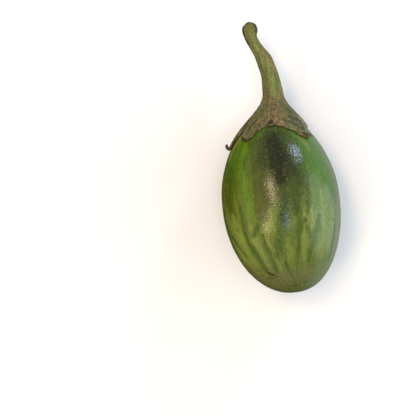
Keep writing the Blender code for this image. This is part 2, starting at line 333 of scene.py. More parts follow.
# %% Brown strokes on the skin
skin_strokes["blush"] = (
    ((36, -3, 1.4), (33, -3, 3.8), (29, -3, 6.0), (25, -3, 7.0), (20, -2, 6.6), (16, -2, 5.0), (12, -2, 3.0)),
)
skin_strokes["blush_halo"] = (
    (
        (36, -4, 1.6), (33, -5, 5.0), (29, -6, 9.0), (25, -6, 10.5), (20, -5, 10.5), (15, -4, 8.5),
        (9, -4, 6.0),
    ),
)
skin_strokes["olive_mottle"] = (
    (
        (33, -20, 2.4), (28, -22, 4.6), (22, -23, 5.0), (15, -22, 5.0), (8, -22, 5.0), (1, -21, 4.2),
        (-5, -22, 2.4),
    ),
    ((19, -14, 3.0), (13, -12, 4.0), (8, -11, 3.4), (2, -12, 2.0)),
)
skin_strokes["bronze"] = (
    ((20, -63, 2.4), (13, -60, 5.0), (5, -62, 5.0), (-2, -58, 3.4)),
)
print(sum(len(strokes) for strokes in skin_strokes.values()), "strokes so far")

# %% [markdown]
# Each vertex now notes how deep it lies in each kind of stroke. The sides that don't show take turned and
# mirrored copies of the same strokes.

# %% Strokes placed on the skin
# Each copy: 1 turned or -1 mirrored, the angle that it is turned by, and the angles that it copies
SKIN_COPIES = ((1, 170.0, -76.0, 18.0), (-1, 235.0, -47.0, 40.0))

skin_along = along_skin(skin_t)
on_sheet = np.stack(
    [FRUIT_RADIUS * np.sin(skin_theta), skin_along, FRUIT_RADIUS * np.cos(skin_theta)], axis=-1
)
note(skin, "skin_place", on_sheet / MM)
for name, strokes in skin_strokes.items():
    placed = [
        tuple((float(along_skin(at * MM)) / MM, degrees, wide) for at, degrees, wide in stroke)
        for stroke in all_round(strokes, SKIN_COPIES)
    ]
    depth = stroke_depth(placed, skin_along, skin_theta, skin_radius)
    note(skin, name, depth)
    print(name, "covers", round(100.0 * float((depth > 0.0).mean())), "% of the vertices")

# %% [markdown]
# Colours and nodes
#
# Paint values are easiest to pick as sRGB hex, but a shader works in linear light, so one function turns
# them. A second adds a node, sets what it is told to, and links or fills its inputs. With those two, a
# material reads as a list of steps.

# %% Material helpers
MIX_FACTOR, MIX_A, MIX_B, MIX_RESULT = 0, 6, 7, 2  # a Mix node's colour sockets, by number


def linear(srgb_hex):
    """The linear colour that a shader wants for an sRGB value such as #80a040."""
    channels = [int(srgb_hex[start : start + 2], 16) / 255.0 for start in (1, 3, 5)]
    return (*[c / 12.92 if c <= 0.04045 else ((c + 0.055) / 1.055) ** 2.4 for c in channels], 1.0)


def add(tree, kind, inputs, output=0, **settings):
    """Adds a shader node with these settings, links or fills its inputs, and returns one of its outputs."""
    node = tree.nodes.new("ShaderNode" + kind)
    for name, value in settings.items():
        setattr(node, name, value)
    for key, value in inputs.items():
        if isinstance(value, bpy.types.NodeSocket):
            tree.links.new(value, node.inputs[key])
        else:
            node.inputs[key].default_value = value
    return node.outputs[output]


def brushed(tree, colour, layers, frays):
    """The colour with each layer of strokes painted over it. The frays, noises about 0, move their edges."""
    for strokes, paint, cover, starts, full, fray in layers:
        depth = add(tree, "Attribute", {}, "Fac", attribute_name=strokes)
        edge = add(tree, "Math", {0: frays[fray], 1: depth}, operation="ADD")
        reach = {"Value": edge, "From Min": starts, "From Max": full, "To Max": cover}
        mask = add(tree, "MapRange", reach, interpolation_type="SMOOTHSTEP")
        mix = {MIX_FACTOR: mask, MIX_A: colour, MIX_B: linear(paint)}
        colour = add(tree, "Mix", mix, MIX_RESULT, data_type="RGBA")
    return colour


def new_finish(name, piece, **sockets):
    """A material on the piece, its tree and its shader, with these values on the shader's own sockets."""
    material = bpy.data.materials.new(name)
    material.use_nodes = True
    shader = material.node_tree.nodes["Principled BSDF"]
    for socket, value in sockets.items():
        shader.inputs[socket.replace("_", " ")].default_value = value
    piece.data.materials.append(material)
    return material.node_tree, shader


# %% [markdown]
# Waxy eggplant skin: what frays its patches
#
# The skin is a thin, tough rind under a natural wax: dark and pale chlorophyll greens, and a brown where
# purple pigment lies over green. No patch on it has a clean edge, so noises fray the strokes: one drawn
# out along the fruit, 1.1 mm wide and 9 mm long, as the cells grew, two of round mottles, 0.8 and 1.8 mm
# across, and one of slow bends. Weighted sums of them give a streaky fray and a mottled one.

# %% Skin noises
STREAK_WIDTH, STREAK_LENGTH = 1.1, 9.0  # mm
MOTTLE_SIZE, FINE_SIZE, RAG_SIZE = 1.8, 0.8, 4.5
FRAY = 1.9  # how strongly the noises move an edge

skin_tree, skin_shader = new_finish("waxy_eggplant_skin", skin, Roughness=0.18, IOR=1.45)
skin_place = add(skin_tree, "Attribute", {}, "Vector", attribute_name="skin_place")
in_metres = add(skin_tree, "TexCoord", {}, "Object")
in_mm = add(skin_tree, "VectorMath", {0: in_metres, "Scale": 1.0 / MM}, operation="SCALE")
streak_scale = (1.0 / STREAK_WIDTH, 1.0 / STREAK_LENGTH, 1.0 / STREAK_WIDTH)
drawn_out = add(skin_tree, "Mapping", {"Vector": skin_place, "Scale": streak_scale})
streaky = add(skin_tree, "TexNoise", {"Vector": drawn_out, "Scale": 1.0, "Detail": 3.0})
mottle = {"Vector": in_mm, "Scale": 1.0 / MOTTLE_SIZE, "Detail": 4.0, "Roughness": 0.6}
mottled = add(skin_tree, "TexNoise", mottle)
finely = {"Vector": in_mm, "Scale": 1.0 / FINE_SIZE, "Detail": 2.0, "Roughness": 0.6}
finely = add(skin_tree, "TexNoise", finely)
ragged = {"Vector": skin_place, "Scale": (1.0 / RAG_SIZE, 0.5 / RAG_SIZE, 1.0 / RAG_SIZE)}
ragged = {"Vector": add(skin_tree, "Mapping", ragged), "Scale": 1.0, "Detail": 1.0}
ragged = add(skin_tree, "TexNoise", ragged)
skin_frays = {}
for fray, shares in (
    ("streaky", ((streaky, 1.2), (mottled, 0.7), (ragged, 1.0))),
    ("mottled", ((finely, 1.1), (mottled, 0.9), (ragged, 0.6))),
):
    total = -0.5 * sum(share for _, share in shares)
    for noise, share in shares:
        total = add(skin_tree, "Math", {0: noise, 1: share, 2: total}, operation="MULTIPLY_ADD")
    skin_frays[fray] = add(skin_tree, "Math", {0: total, 1: FRAY}, operation="MULTIPLY")
print("the skin's frays:", ", ".join(skin_frays))

# %% [markdown]
# Waxy eggplant skin: the ground
#
# The colour is built like paint, from the ground up. The ground turns from olive at the blossom end to
# fresh green at the shoulder, and the streaky fray makes its borders wander. A cooler green on the right
# side is painted light: it stands for the cool window light that falls there.

# %% Skin ground
GROUNDS = (  # colour that follows, and the stations (mm) between which it comes in towards the stem
    ("#6b762c", -42.0, -24.0),
    ("#5a6b1e", -10.0, 10.0),
    ("#4b6c18", 8.0, 24.0),
)
# the second colour is painted light: the right side's green as tinted by the cool window light
BLOSSOM_OLIVE, COOL_LIGHT_GREEN = "#66693a", "#4e7630"
GROUND_WANDER = 7.0  # mm by which the grounds' borders wander
# Painted cool light on the right: mm to the right of the middle, and its cover under and over the strokes
COOL_FROM, COOL_TO, COOL_UNDER, COOL_OVER = 8.0, 24.0, 0.8, 0.45
FADE_FROM, FADE_TO, FADED = -34.0, -8.0, 0.35  # mm along the skin, and what is left at the blossom end

station = add(skin_tree, "SeparateXYZ", {"Vector": skin_place}, "Y")
sideways = add(skin_tree, "SeparateXYZ", {"Vector": skin_place}, "X")
wandering = {0: skin_frays["streaky"], 1: GROUND_WANDER, 2: station}
wandering = add(skin_tree, "Math", wandering, operation="MULTIPLY_ADD")
skin_colour = linear(BLOSSOM_OLIVE)
for colour, low, high in GROUNDS:
    share = {"Value": wandering, "From Min": low, "From Max": high}
    share = add(skin_tree, "MapRange", share, interpolation_type="SMOOTHSTEP")
    mix = {MIX_FACTOR: share, MIX_A: skin_colour, MIX_B: linear(colour)}
    skin_colour = add(skin_tree, "Mix", mix, MIX_RESULT, data_type="RGBA")
# painted cool light: the right side turns a cooler green, less of it towards the blossom end
share = {"Value": sideways, "From Min": COOL_FROM, "From Max": COOL_TO, "To Max": COOL_UNDER}
share = add(skin_tree, "MapRange", share, interpolation_type="SMOOTHSTEP")
above_blossom = {"Value": station, "From Min": FADE_FROM, "From Max": FADE_TO, "To Min": FADED}
above_blossom = add(skin_tree, "MapRange", above_blossom)
share = add(skin_tree, "Math", {0: share, 1: above_blossom}, operation="MULTIPLY")
mix = {MIX_FACTOR: share, MIX_A: skin_colour, MIX_B: linear(COOL_LIGHT_GREEN)}
skin_colour = add(skin_tree, "Mix", mix, MIX_RESULT, data_type="RGBA")
print("ground:", len(GROUNDS) + 2, "greens")

# %% [markdown]
# Waxy eggplant skin: the layers
#
# Each set of strokes is painted over the ground in its own colour, the dark blush last. The painted cool
# light comes once more, as a thin veil over the strokes, and a dull olive covers the right flank: a painted
# reflection, for the duller, pinkish tone of the reflection along that rim.

# %% Skin layers
SKIN_LAYERS = (  # strokes, colour, how much it covers, the depths where it starts and is full, and its fray
    ("bright_band", "#64841b", 0.70, -0.60, 0.90, "streaky"),
    ("bronze", "#464b12", 0.75, -0.60, 0.90, "streaky"),
    # painted sheen: the right side's broad reflection of the room, as a pale grey-green
    ("right_sheen", "#8b9b7d", 0.85, -0.80, 0.90, "streaky"),
    ("olive_mottle", "#4a4a1c", 0.80, -0.80, 0.80, "mottled"),
    # the first of these patches is a painted highlight
    ("pale_patch_and_highlight", "#828d3f", 0.70, -0.80, 1.00, "streaky"),
    ("lower_green", "#53641f", 0.45, -0.70, 0.90, "streaky"),
    ("dark_streak", "#3e561a", 0.80, -0.80, 1.00, "streaky"),
    ("deep_green", "#33421e", 0.85, -0.70, 0.85, "mottled"),
    ("blush_halo", "#434a1b", 0.80, -0.80, 0.70, "streaky"),
    ("blush", "#201f11", 0.92, -0.80, 0.95, "mottled"),
)
# painted reflection: a dull olive for the duller, pinkish tone of the reflection along the right rim
FLANK_REFLECTION_OLIVE = "#5f6638"
# Painted reflection: mm to the right, how far its border wanders, and its cover. It fades on the underside.
FLANK_FROM, FLANK_TO, FLANK_WANDER, FLANK_COVER = 24.5, 29.5, 2.0, 0.75
UNDER_FROM, UNDER_TO, UNDER_SHARE = -12.0, -1.0, 0.35  # mm over the fruit's axis, and what is left below

skin_colour = brushed(skin_tree, skin_colour, SKIN_LAYERS, skin_frays)
# painted cool light once more, as a thin veil over the strokes
cool_light_veil = add(skin_tree, "Math", {0: share, 1: COOL_OVER}, operation="MULTIPLY")
# painted reflection over the right flank, fading on the underside
flank_reflection = {0: skin_frays["streaky"], 1: FLANK_WANDER, 2: sideways}
flank_reflection = add(skin_tree, "Math", flank_reflection, operation="MULTIPLY_ADD")
flank_reflection = {"Value": flank_reflection, "From Min": FLANK_FROM, "From Max": FLANK_TO, "To Max": FLANK_COVER}
flank_reflection = add(skin_tree, "MapRange", flank_reflection, interpolation_type="SMOOTHSTEP")
upper_side = add(skin_tree, "SeparateXYZ", {"Vector": skin_place}, "Z")
upper_side = {"Value": upper_side, "From Min": UNDER_FROM, "From Max": UNDER_TO, "To Min": UNDER_SHARE}
upper_side = add(skin_tree, "MapRange", upper_side, interpolation_type="SMOOTHSTEP")
flank_reflection = add(skin_tree, "Math", {0: flank_reflection, 1: upper_side}, operation="MULTIPLY")
for mask, paint in ((cool_light_veil, COOL_LIGHT_GREEN), (flank_reflection, FLANK_REFLECTION_OLIVE)):
    mix = {MIX_FACTOR: mask, MIX_A: skin_colour, MIX_B: linear(paint)}
    skin_colour = add(skin_tree, "Mix", mix, MIX_RESULT, data_type="RGBA")
print("skin is painted in", len(GROUNDS) + 3 + len(SKIN_LAYERS), "colours")

# %% [markdown]
# Marks on the skin
#
# No fruit is spotless: this one has small corky rubs and specks, and a scar near the blossom end. Each
# single mark is the inside of a small ellipse on the skin, found by moving and stretching the place so
# that the ellipse becomes a unit ball.

# %% Single marks
MARKS = (  # station (mm), angle, half-length and half-width (mm), colour, how much it covers
    (-5.1, -6.0, 0.75, 0.65, "#171c12", 0.95),
    (9.7, -10.0, 0.50, 0.45, "#1f1c10", 0.90),
    (-9.5, 16.0, 1.40, 1.10, "#413d22", 0.70),
    (-11.0, 51.0, 0.80, 1.30, "#5c4632", 0.60),
    (-10.2, -56.0, 0.90, 1.20, "#5e4418", 0.65),
    (-35.0, -31.0, 0.75, 1.60, "#2e1f10", 0.95),
    (-34.0, -34.5, 0.50, 1.10, "#3b2c14", 0.90),
    (-36.2, -27.5, 0.45, 1.30, "#453616", 0.85),
    (-37.0, -38.0, 0.45, 1.80, "#4c3a1a", 0.70),
    (-32.5, -50.0, 0.40, 1.60, "#3c3818", 0.80),
    (-33.0, 26.0, 0.35, 1.40, "#4f4a28", 0.70),
    (-31.0, 20.0, 0.30, 0.80, "#4f4a28", 0.60),
    (-41.0, 18.0, 0.45, 2.40, "#3e4122", 0.80),
    (-42.3, -4.0, 0.45, 3.20, "#41442a", 0.70),
    (-43.6, -24.0, 0.45, 2.40, "#41442a", 0.70),
    (-47.0, 0.0, 2.20, 2.20, "#4a3a22", 0.95),
)
MARK_FRAY, MARK_OUTSIDE, MARK_INSIDE = 2.6, 1.25, 0.55  # of a mark's own half-sizes
SMALLEST_RING = 3.0 * MM  # nearer to a pole, a mark is no longer widened

uneven = add(skin_tree, "Math", {0: mottled, 1: 0.5}, operation="SUBTRACT")
for at, degrees, half_length, half_width, colour, cover in MARKS:
    angle = math.radians(degrees)
    ring_radius = max(float(fruit_radius(at * MM)), SMALLEST_RING)
    half_width *= FRUIT_RADIUS / ring_radius  # skin_place is as wide all along as at the widest ring
    across, up = FRUIT_RADIUS / MM * math.sin(angle), FRUIT_RADIUS / MM * math.cos(angle)
    middle = across, float(along_skin(at * MM)) / MM, up
    ball = {"Vector": skin_place, "Location": middle, "Scale": (half_width, half_length, half_width)}
    ball = add(skin_tree, "Mapping", ball, vector_type="TEXTURE")
    distance = add(skin_tree, "VectorMath", {0: ball}, "Value", operation="LENGTH")
    edge = add(skin_tree, "Math", {0: uneven, 1: MARK_FRAY, 2: distance}, operation="MULTIPLY_ADD")
    mask = {"Value": edge, "From Min": MARK_OUTSIDE, "From Max": MARK_INSIDE, "To Max": cover}
    mask = add(skin_tree, "MapRange", mask, interpolation_type="SMOOTHSTEP")
    mix = {MIX_FACTOR: mask, MIX_A: skin_colour, MIX_B: linear(colour)}
    skin_colour = add(skin_tree, "Mix", mix, MIX_RESULT, data_type="RGBA")
print(len(MARKS), "single marks")

# %% [markdown]
# Pores and specks
#
# Pale breathing pores, the lenticels, sit a little over 1 mm apart where the skin is dark, and fine dark
# specks are scattered all over. Both are the middles of Voronoi cells, and chance leaves some cells bare.

# %% Pores and specks
PORE_CELL, PORE_RADIUS, PORE_OLIVE = 1.15, 0.27, "#72764a"  # mm, and colour
SPECK_CELL, SPECK_RADIUS, SPECK_BROWN, SPECK_COVER = 2.1, 0.24, "#23220f", 0.85
PORES_ON_GREEN, PORES_ON_DARK = 0.1, 0.75  # how much a pore's colour covers there
BARE_CELLS = 0.35  # share of the cells that have no dot

blush_depth = add(skin_tree, "Attribute", {}, "Fac", attribute_name="blush")
olive_depth = add(skin_tree, "Attribute", {}, "Fac", attribute_name="olive_mottle")
dark_skin = add(skin_tree, "Math", {0: blush_depth, 1: olive_depth}, operation="MAXIMUM")
on_dark = {"Value": dark_skin, "From Min": -0.6, "From Max": 0.2}
on_dark = add(skin_tree, "MapRange", {**on_dark, "To Min": PORES_ON_GREEN, "To Max": PORES_ON_DARK})
for cell, radius, colour, cover in (
    (PORE_CELL, PORE_RADIUS, PORE_OLIVE, on_dark),
    (SPECK_CELL, SPECK_RADIUS, SPECK_BROWN, SPECK_COVER),
):
    dots = {"Vector": in_mm, "Scale": 1.0 / cell}
    nearest = add(skin_tree, "TexVoronoi", dots, "Distance")
    chance = add(skin_tree, "TexVoronoi", dots, "Color")
    chance = add(skin_tree, "SeparateColor", {0: chance}, "Red")
    size = add(skin_tree, "MapRange", {"Value": chance, "From Min": BARE_CELLS, "To Max": radius / cell})
    inside = add(skin_tree, "Math", {0: size, 1: nearest}, operation="SUBTRACT")
    mask = {"Value": inside, "From Min": -0.03, "From Max": 0.06, "To Max": cover}
    mask = add(skin_tree, "MapRange", mask, interpolation_type="SMOOTHSTEP")
    mix = {MIX_FACTOR: mask, MIX_A: skin_colour, MIX_B: linear(colour)}
    skin_colour = add(skin_tree, "Mix", mix, MIX_RESULT, data_type="RGBA")
print("pores", PORE_CELL, "mm apart, specks", SPECK_CELL, "mm apart")

# %% [markdown]
# Fine grain
#
# Seen close, the skin's cells lie in rows, each a little lighter or darker than its neighbours. Real
# cells are far too fine to show, so the grain is drawn 0.6 mm wide. Bundles of rows, 1.4 mm wide, run
# along the fruit.

# %% Grain and rows
GRAIN_WIDTH, ROW_WIDTH, ROW_LENGTH = 0.6, 1.4, 20.0  # mm
ROW_DARK, ROW_LIGHT = (0.85, 0.90, 0.91, 1.0), (1.17, 1.11, 1.03, 1.0)

grain = {"Vector": skin_place, "Scale": (1.0 / GRAIN_WIDTH, 0.4 / GRAIN_WIDTH, 1.0 / GRAIN_WIDTH)}
grain = add(skin_tree, "Mapping", grain)
grain = add(skin_tree, "TexNoise", {"Vector": grain, "Scale": 1.0, "Detail": 3.0, "Roughness": 0.65})
grain = {"Value": grain, "From Min": 0.3, "From Max": 0.7, "To Min": 0.72, "To Max": 1.28}
grain = add(skin_tree, "MapRange", grain)
rows = {"Vector": skin_place, "Scale": (1.0 / ROW_WIDTH, 1.0 / ROW_LENGTH, 1.0 / ROW_WIDTH)}
rows = add(skin_tree, "Mapping", rows)
rows = add(skin_tree, "TexNoise", {"Vector": rows, "Scale": 1.0, "Detail": 2.0, "Roughness": 0.6})
rows = add(skin_tree, "MapRange", {"Value": rows, "From Min": 0.35, "From Max": 0.65})
mix = {MIX_FACTOR: rows, MIX_A: ROW_DARK, MIX_B: ROW_LIGHT}
rows = add(skin_tree, "Mix", mix, MIX_RESULT, data_type="RGBA")
for shade in (grain, rows):
    mix = {MIX_FACTOR: 1.0, MIX_A: skin_colour, MIX_B: shade}
    skin_colour = add(skin_tree, "Mix", mix, MIX_RESULT, data_type="RGBA", blend_type="MULTIPLY")
skin_tree.links.new(skin_colour, skin_shader.inputs["Base Color"])
print("the skin's colour takes", len(skin_tree.nodes), "nodes")

# %% [markdown]
# Waxy eggplant skin: the gloss
#
# Natural wax has an index near 1.45 and gives a clear gloss, but not a mirror's: cells and pores dimple
# it, and where it is rubbed it goes dull. The dimples are real at about 0.3 mm, too fine for the picture,
# so they are drawn 1 mm across and about 0.05 mm deep. Roughness wanders with the mottles.

# %% Skin gloss
DIMPLE_SIZE, DIMPLE_DEPTH = 1.0, 0.13 * MM
CLEAR_WAX, RUBBED_WAX = 0.115, 0.20  # roughness
dimple = {"Vector": in_mm, "Scale": 1.0 / DIMPLE_SIZE, "Detail": 1.8, "Roughness": 0.5}
dimpled = add(skin_tree, "TexNoise", dimple)
bumped = add(skin_tree, "Bump", {"Height": dimpled, "Distance": DIMPLE_DEPTH, "Strength": 1.0})
skin_tree.links.new(bumped, skin_shader.inputs["Normal"])
dullness = {"Value": mottled, "From Min": 0.3, "From Max": 0.7, "To Min": CLEAR_WAX, "To Max": RUBBED_WAX}
skin_tree.links.new(add(skin_tree, "MapRange", dullness), skin_shader.inputs["Roughness"])
print("roughness of the wax:", CLEAR_WAX, "to", RUBBED_WAX)

# %% [markdown]
# The shape of the calyx and stem
#
# The calyx is a leathery cap of five pointed lobes, grown from the stem and pulled back from the fruit as
# it swelled. Its section at each angle runs from the apex under the cap to the margin, round its rounded
# edge and back over the top, and sweeps up into the stem. The tips of two lobes dried and curled up.

# %% Calyx formulas
CALYX_GAP, CALYX_THICKNESS = 0.3 * MM, 0.8 * MM
MARGIN_GAP, MARGIN_TOP = 0.06 * MM, 0.82 * MM  # the margin lies closer to the skin and is a little thinner
MARGIN_FADE = 2.2 * MM
MIDRIB_HEIGHT, MIDRIB_WIDTH = 0.2 * MM, 7.0
# Each lobe: middle angle, where its tip starts to curl up, the curl's radius, and how much its tip spreads
LOBES = (
    (-155.0, 28.0 * MM, 12.0 * MM, 0.0),
    (-91.0, 32.6 * MM, 1.6 * MM, 0.5),
    (-43.0, 27.0 * MM, 20.0 * MM, 0.0),
    (45.0, 31.9 * MM, 1.7 * MM, 0.40),
    (127.0, 30.0 * MM, 5.0 * MM, 0.0),
)
CURL_LIMIT = math.radians(165.0)
SPREAD_FROM, SPREAD_TO = -2.2 * MM, 0.4 * MM  # of the curl's start
SINUS_ANGLES = (-123.0, -64.0, -4.0, 78.0, 168.0)
SLOPE_STEP = 0.2 * MM


def on_skin(reach):
    """Station, radius and unit downhill direction of the skin at these distances from the apex along it."""
    t, radius = (np.interp(reach, from_apex, column) for column in (meridian_t, meridian_radius))
    ahead, behind = reach + SLOPE_STEP, reach - SLOPE_STEP
    down, out = (
        np.interp(ahead, from_apex, column) - np.interp(behind, from_apex, column)
        for column in (meridian_t, meridian_radius)
    )
    length = np.hypot(down, out)
    return t, radius, down / length, out / length


def lobe_values(theta):
    """Middle angle, curl's start, curl's radius and spread of the lobe that each angle belongs to."""
    degrees = np.degrees(theta)
    which = np.searchsorted(SINUS_ANGLES, (degrees + 180.0) % 360.0 - 180.0) % len(LOBES)
    return (np.array(column)[which] for column in zip(*LOBES))


def shell_point(theta, reach, lift):
    """Points of the calyx this far over the skin, where the tips of the lobes curl up and spread."""
    middle_angle, curl_from, curl_radius, spread = lobe_values(theta)
    t, radius, down, out = on_skin(np.minimum(reach, curl_from))
    past = np.maximum(0.0, reach - curl_from)
    turn = np.minimum(CURL_LIMIT, past / curl_radius)
    rest = past - turn * curl_radius
    along = (curl_radius - lift) * np.sin(turn) + rest * np.cos(turn)
    away = curl_radius - (curl_radius - lift) * np.cos(turn) + rest * np.sin(turn)
    offset = (theta - np.radians(middle_angle) + math.pi) % (2.0 * math.pi) - math.pi
    widened = spread * smooth_step(reach - curl_from, SPREAD_FROM, SPREAD_TO)
    return place(t + along * down + away * out, radius + along * out - away * down, theta + offset * widened)


def midrib(theta):
    """Extra thickness along the middle of each lobe."""
    offsets = [np.abs((np.degrees(theta) - lobe[0] + 180.0) % 360.0 - 180.0) for lobe in LOBES]
    return MIDRIB_HEIGHT * np.exp(-((np.min(offsets, axis=0) / MIDRIB_WIDTH) ** 2))


# %% [markdown]
# The stem is as thick as a pencil, bends twice and ends in a knob where it was torn from the plant. Its
# middle line is a smooth curve through ten measured stations, and five low ridges run up it from the
# lobes.

# %% Stem formulas
FLARE_FROM, NECK_STATION = 17.0 * MM, 60.0 * MM
FLARE_PULLS = 9.0 * MM, 5.5 * MM
STEM = MM * np.array([  # sideways place, station, height above the fruit's axis, and radius
    (3.4, 60.0, 0.0, 5.2), (3.2, 65.0, 0.4, 4.7), (2.4, 70.5, 1.0, 4.35), (1.0, 75.7, 1.6, 4.15),
    (-1.1, 80.5, 1.8, 3.35), (-2.9, 84.3, 1.5, 3.05), (-4.2, 88.0, 0.7, 3.15), (-4.5, 91.5, -0.3, 3.75),
    (-4.4, 94.5, -1.4, 3.75), (-4.5, 96.1, -2.0, 3.1),
])
STEM_RIDGES, STEM_RIDGE_SHARE, STEM_RIDGE_TURN = 5, 0.035, math.radians(-15.0)
SCAR_SHARES, SCAR_HEIGHTS = (0.0, 0.3, 0.6, 0.85, 1.0), (0.93 * MM, 0.98 * MM, 0.93 * MM, 0.55 * MM, 0.0)


def stem_ridge(theta):
    """The stem's ridges, which run on from the lobes, as a factor on its radius."""
    return 1.0 + STEM_RIDGE_SHARE * np.cos(STEM_RIDGES * (theta - STEM_RIDGE_TURN))


def stem_station(share):
    """The stem's centre, from the origin, and radius at this share of its stations."""
    count = len(STEM) - 1
    before_neck = STEM[0] - (0.0, STEM[1, 1] - STEM[0, 1], 0.0, 0.0)
    stations = np.vstack([before_neck, STEM, STEM[-1]])
    first = min(int(share * count), count - 1)
    local = share * count - first
    before, low, high, after = stations[first : first + 4]
    value = 0.5 * (
        2 * low
        + (high - before) * local
        + (2 * before - 5 * low + 4 * high - after) * local**2
        + (3 * low - before - 3 * high + after) * local**3
    )
    return value[:3] + (0.0, 0.0, AXIS_HEIGHT), value[3]


def stem_ring(share, theta, scale, past=0.0):
    """A ring of the stem square to its middle line, scaled, and moved past its station by a height."""
    step = 0.025  # of the stem's length
    run = stem_station(min(1.0, share + step))[0] - stem_station(share - step)[0]
    run /= np.linalg.norm(run)
    side = np.cross(run, (0.0, 0.0, 1.0))
    side /= np.linalg.norm(side)
    up = np.cross(side, run)
    centre, radius = stem_station(share)
    out = np.sin(theta)[:, None] * side + np.cos(theta)[:, None] * up
    return centre + past * run + (scale * radius * stem_ridge(theta))[:, None] * out, out


# %% [markdown]
# The margin of the calyx
#
# The line along the lobes' edges is a list of turning points measured round the cap. On the real thing it
# wavers and lifts off the skin here and there, as a drying leaf does, and two random fields do that here.

# %% Margin of the calyx
# Angle and reach from the apex of each turning point of the margin
MARGIN = (
    (-162, 31.2), (-157.5, 33.0), (-152.5, 32.8), (-146, 31.2), (-137, 28.6), (-129, 26.6), (-123, 26.0),
    (-117, 26.9), (-110, 29.4), (-102, 33.6), (-96, 37.2), (-94, 38.4), (-90, 38.4), (-88.5, 36.6),
    (-85, 33.9), (-81, 32.0), (-77, 30.4), (-73.5, 28.8), (-70.5, 27.0), (-68, 24.8), (-65, 23.0),
    (-63, 23.0), (-61, 25.0), (-59, 26.8), (-56, 28.4), (-54, 29.5), (-48, 31.0), (-43, 32.5), (-41.2, 31.9),
    (-35, 29.6), (-28, 26.8), (-22, 24.9), (-15, 23.9), (-8, 23.7), (1, 23.9), (7, 24.5), (13, 25.5),
    (19, 27.0), (26, 28.5), (33, 30.6), (39, 32.2), (42, 34.6), (44.5, 35.4), (49.5, 35.2), (51.2, 34.0),
    (51.8, 31.0), (54, 28.6), (62, 27.0), (70, 26.0), (78, 25.4), (88, 25.6), (98, 26.6), (108, 28.6),
    (117, 31.4), (124, 33.8), (128, 34.0), (132, 33.2), (140, 30.2), (150, 27.2), (160, 25.2), (168, 24.5),
    (178, 25.4), (186, 27.2), (192, 29.0),
)
CALYX_SIDES = 480
CORNER_ROUNDING = 4  # margin points, at 0.75 degrees each, that a corner is rounded over
MARGIN_WAVER, MARGIN_LIFT = 0.22 * MM, 0.35 * MM
WAVER_SPACING, LIFT_SPACING = 0.13, 0.35  # as shares of the cap's radius
LYING_FLAT = 0.2  # where the field is lower, the margin isn't lifted

calyx_theta = 2.0 * math.pi * np.arange(CALYX_SIDES) / CALYX_SIDES
ring_points = np.stack([np.sin(calyx_theta), np.zeros(CALYX_SIDES), np.cos(calyx_theta)], axis=-1)
margin_angle, margin_reach = np.array(MARGIN).T
reach = MM * np.interp(np.degrees(calyx_theta), margin_angle, margin_reach, period=360.0)
near = np.hanning(CORNER_ROUNDING) / np.hanning(CORNER_ROUNDING).sum()
reach = sum(weight * np.roll(reach, step - CORNER_ROUNDING // 2) for step, weight in enumerate(near))
reach = reach + MARGIN_WAVER * ripple(ring_points, WAVER_SPACING, 11)
edge_lift = MARGIN_LIFT * np.clip(ripple(ring_points, LIFT_SPACING, 12) - LYING_FLAT, 0.0, 1.0)
shortest, longest = (round(float(value) / MM, 1) for value in (reach.min(), reach.max()))
print("calyx reaches", shortest, "to", longest, "mm from the apex")

# %% [markdown]
# The shell of the calyx
#
# Rows of points follow the section: under the cap from the apex to the margin, round the margin's edge,
# and back over the top. Towards the margin the rows crowd together, because the form is finest there.

# %% Shell of the calyx
UNDER_ROWS, EDGE_ROWS, OVER_ROWS = 12, 5, 44
EDGE_SETBACK, UNDER_CROWDING, OVER_CROWDING = 0.4 * MM, 1.5, 1.3
ROLLED_TIP, TIGHT_CURL = 0.3 * MM, 2.0 * MM  # a tip that curls tighter than this has dried thicker
ROLL_FROM, ROLL_TO = 0.4 * MM, 1.8 * MM  # past the start of the curl

inner_top = CALYX_GAP + CALYX_THICKNESS + midrib(calyx_theta)
_, tip_from, tip_radius, _ = lobe_values(calyx_theta)


def shell_lifts(here):
    """Lowest and highest height over the skin of the shell at these reaches."""
    at_margin = np.exp(-np.maximum(reach - here, 0.0) / MARGIN_FADE)
    lift = edge_lift * at_margin
    rolled = ROLLED_TIP * smooth_step(here - tip_from, ROLL_FROM, ROLL_TO) * (tip_radius < TIGHT_CURL)
    return (
        CALYX_GAP + (MARGIN_GAP - CALYX_GAP) * at_margin + lift - rolled,
        inner_top + (MARGIN_TOP - inner_top) * at_margin + lift + rolled,
    )


section = []  # for each row: its points, how far it is from the margin, and 1 outside or 0 under the cap
for row in range(1, UNDER_ROWS + 1):
    share = 1.0 - (1.0 - row / UNDER_ROWS) ** UNDER_CROWDING
    here = (reach - EDGE_SETBACK) * share
    section.append((shell_point(calyx_theta, here, shell_lifts(here)[0]), reach - here, 0.0))
for row in range(1, EDGE_ROWS + 1):
    turn = math.pi * (row / (EDGE_ROWS + 1) - 0.5)
    low, high = shell_lifts(reach)
    half = (high - low) / 2.0
    here = reach - half * (1.0 - math.cos(turn))
    lift = (low + high) / 2.0 + half * math.sin(turn)
    section.append((shell_point(calyx_theta, here, lift), reach - here, 0.5 + 0.5 * math.sin(turn)))
for row in range(OVER_ROWS + 1):
    share = (row / OVER_ROWS) ** OVER_CROWDING
    here = (reach - EDGE_SETBACK) * (1.0 - share) + FLARE_FROM * share
    section.append((shell_point(calyx_theta, here, shell_lifts(here)[1]), reach - here, 1.0))
print("the shell has", len(section), "rows of", CALYX_SIDES, "points")

# %% [markdown]
# The sweep from the cap into the stem is a cubic curve at each angle: it leaves the cap along its slope
# and joins the stem along its axis. Then come the stem's rings and the rough scar at its end.

# %% Flare, stem and scar
FLARE_ROWS, STEM_ROWS, SCAR_ROWS = 24, 84, 8
KNOB_FROM, KNOB_ROUNDING, KNOB_POWER = 0.87, 0.28, 2.4  # how the end of the stem rounds off
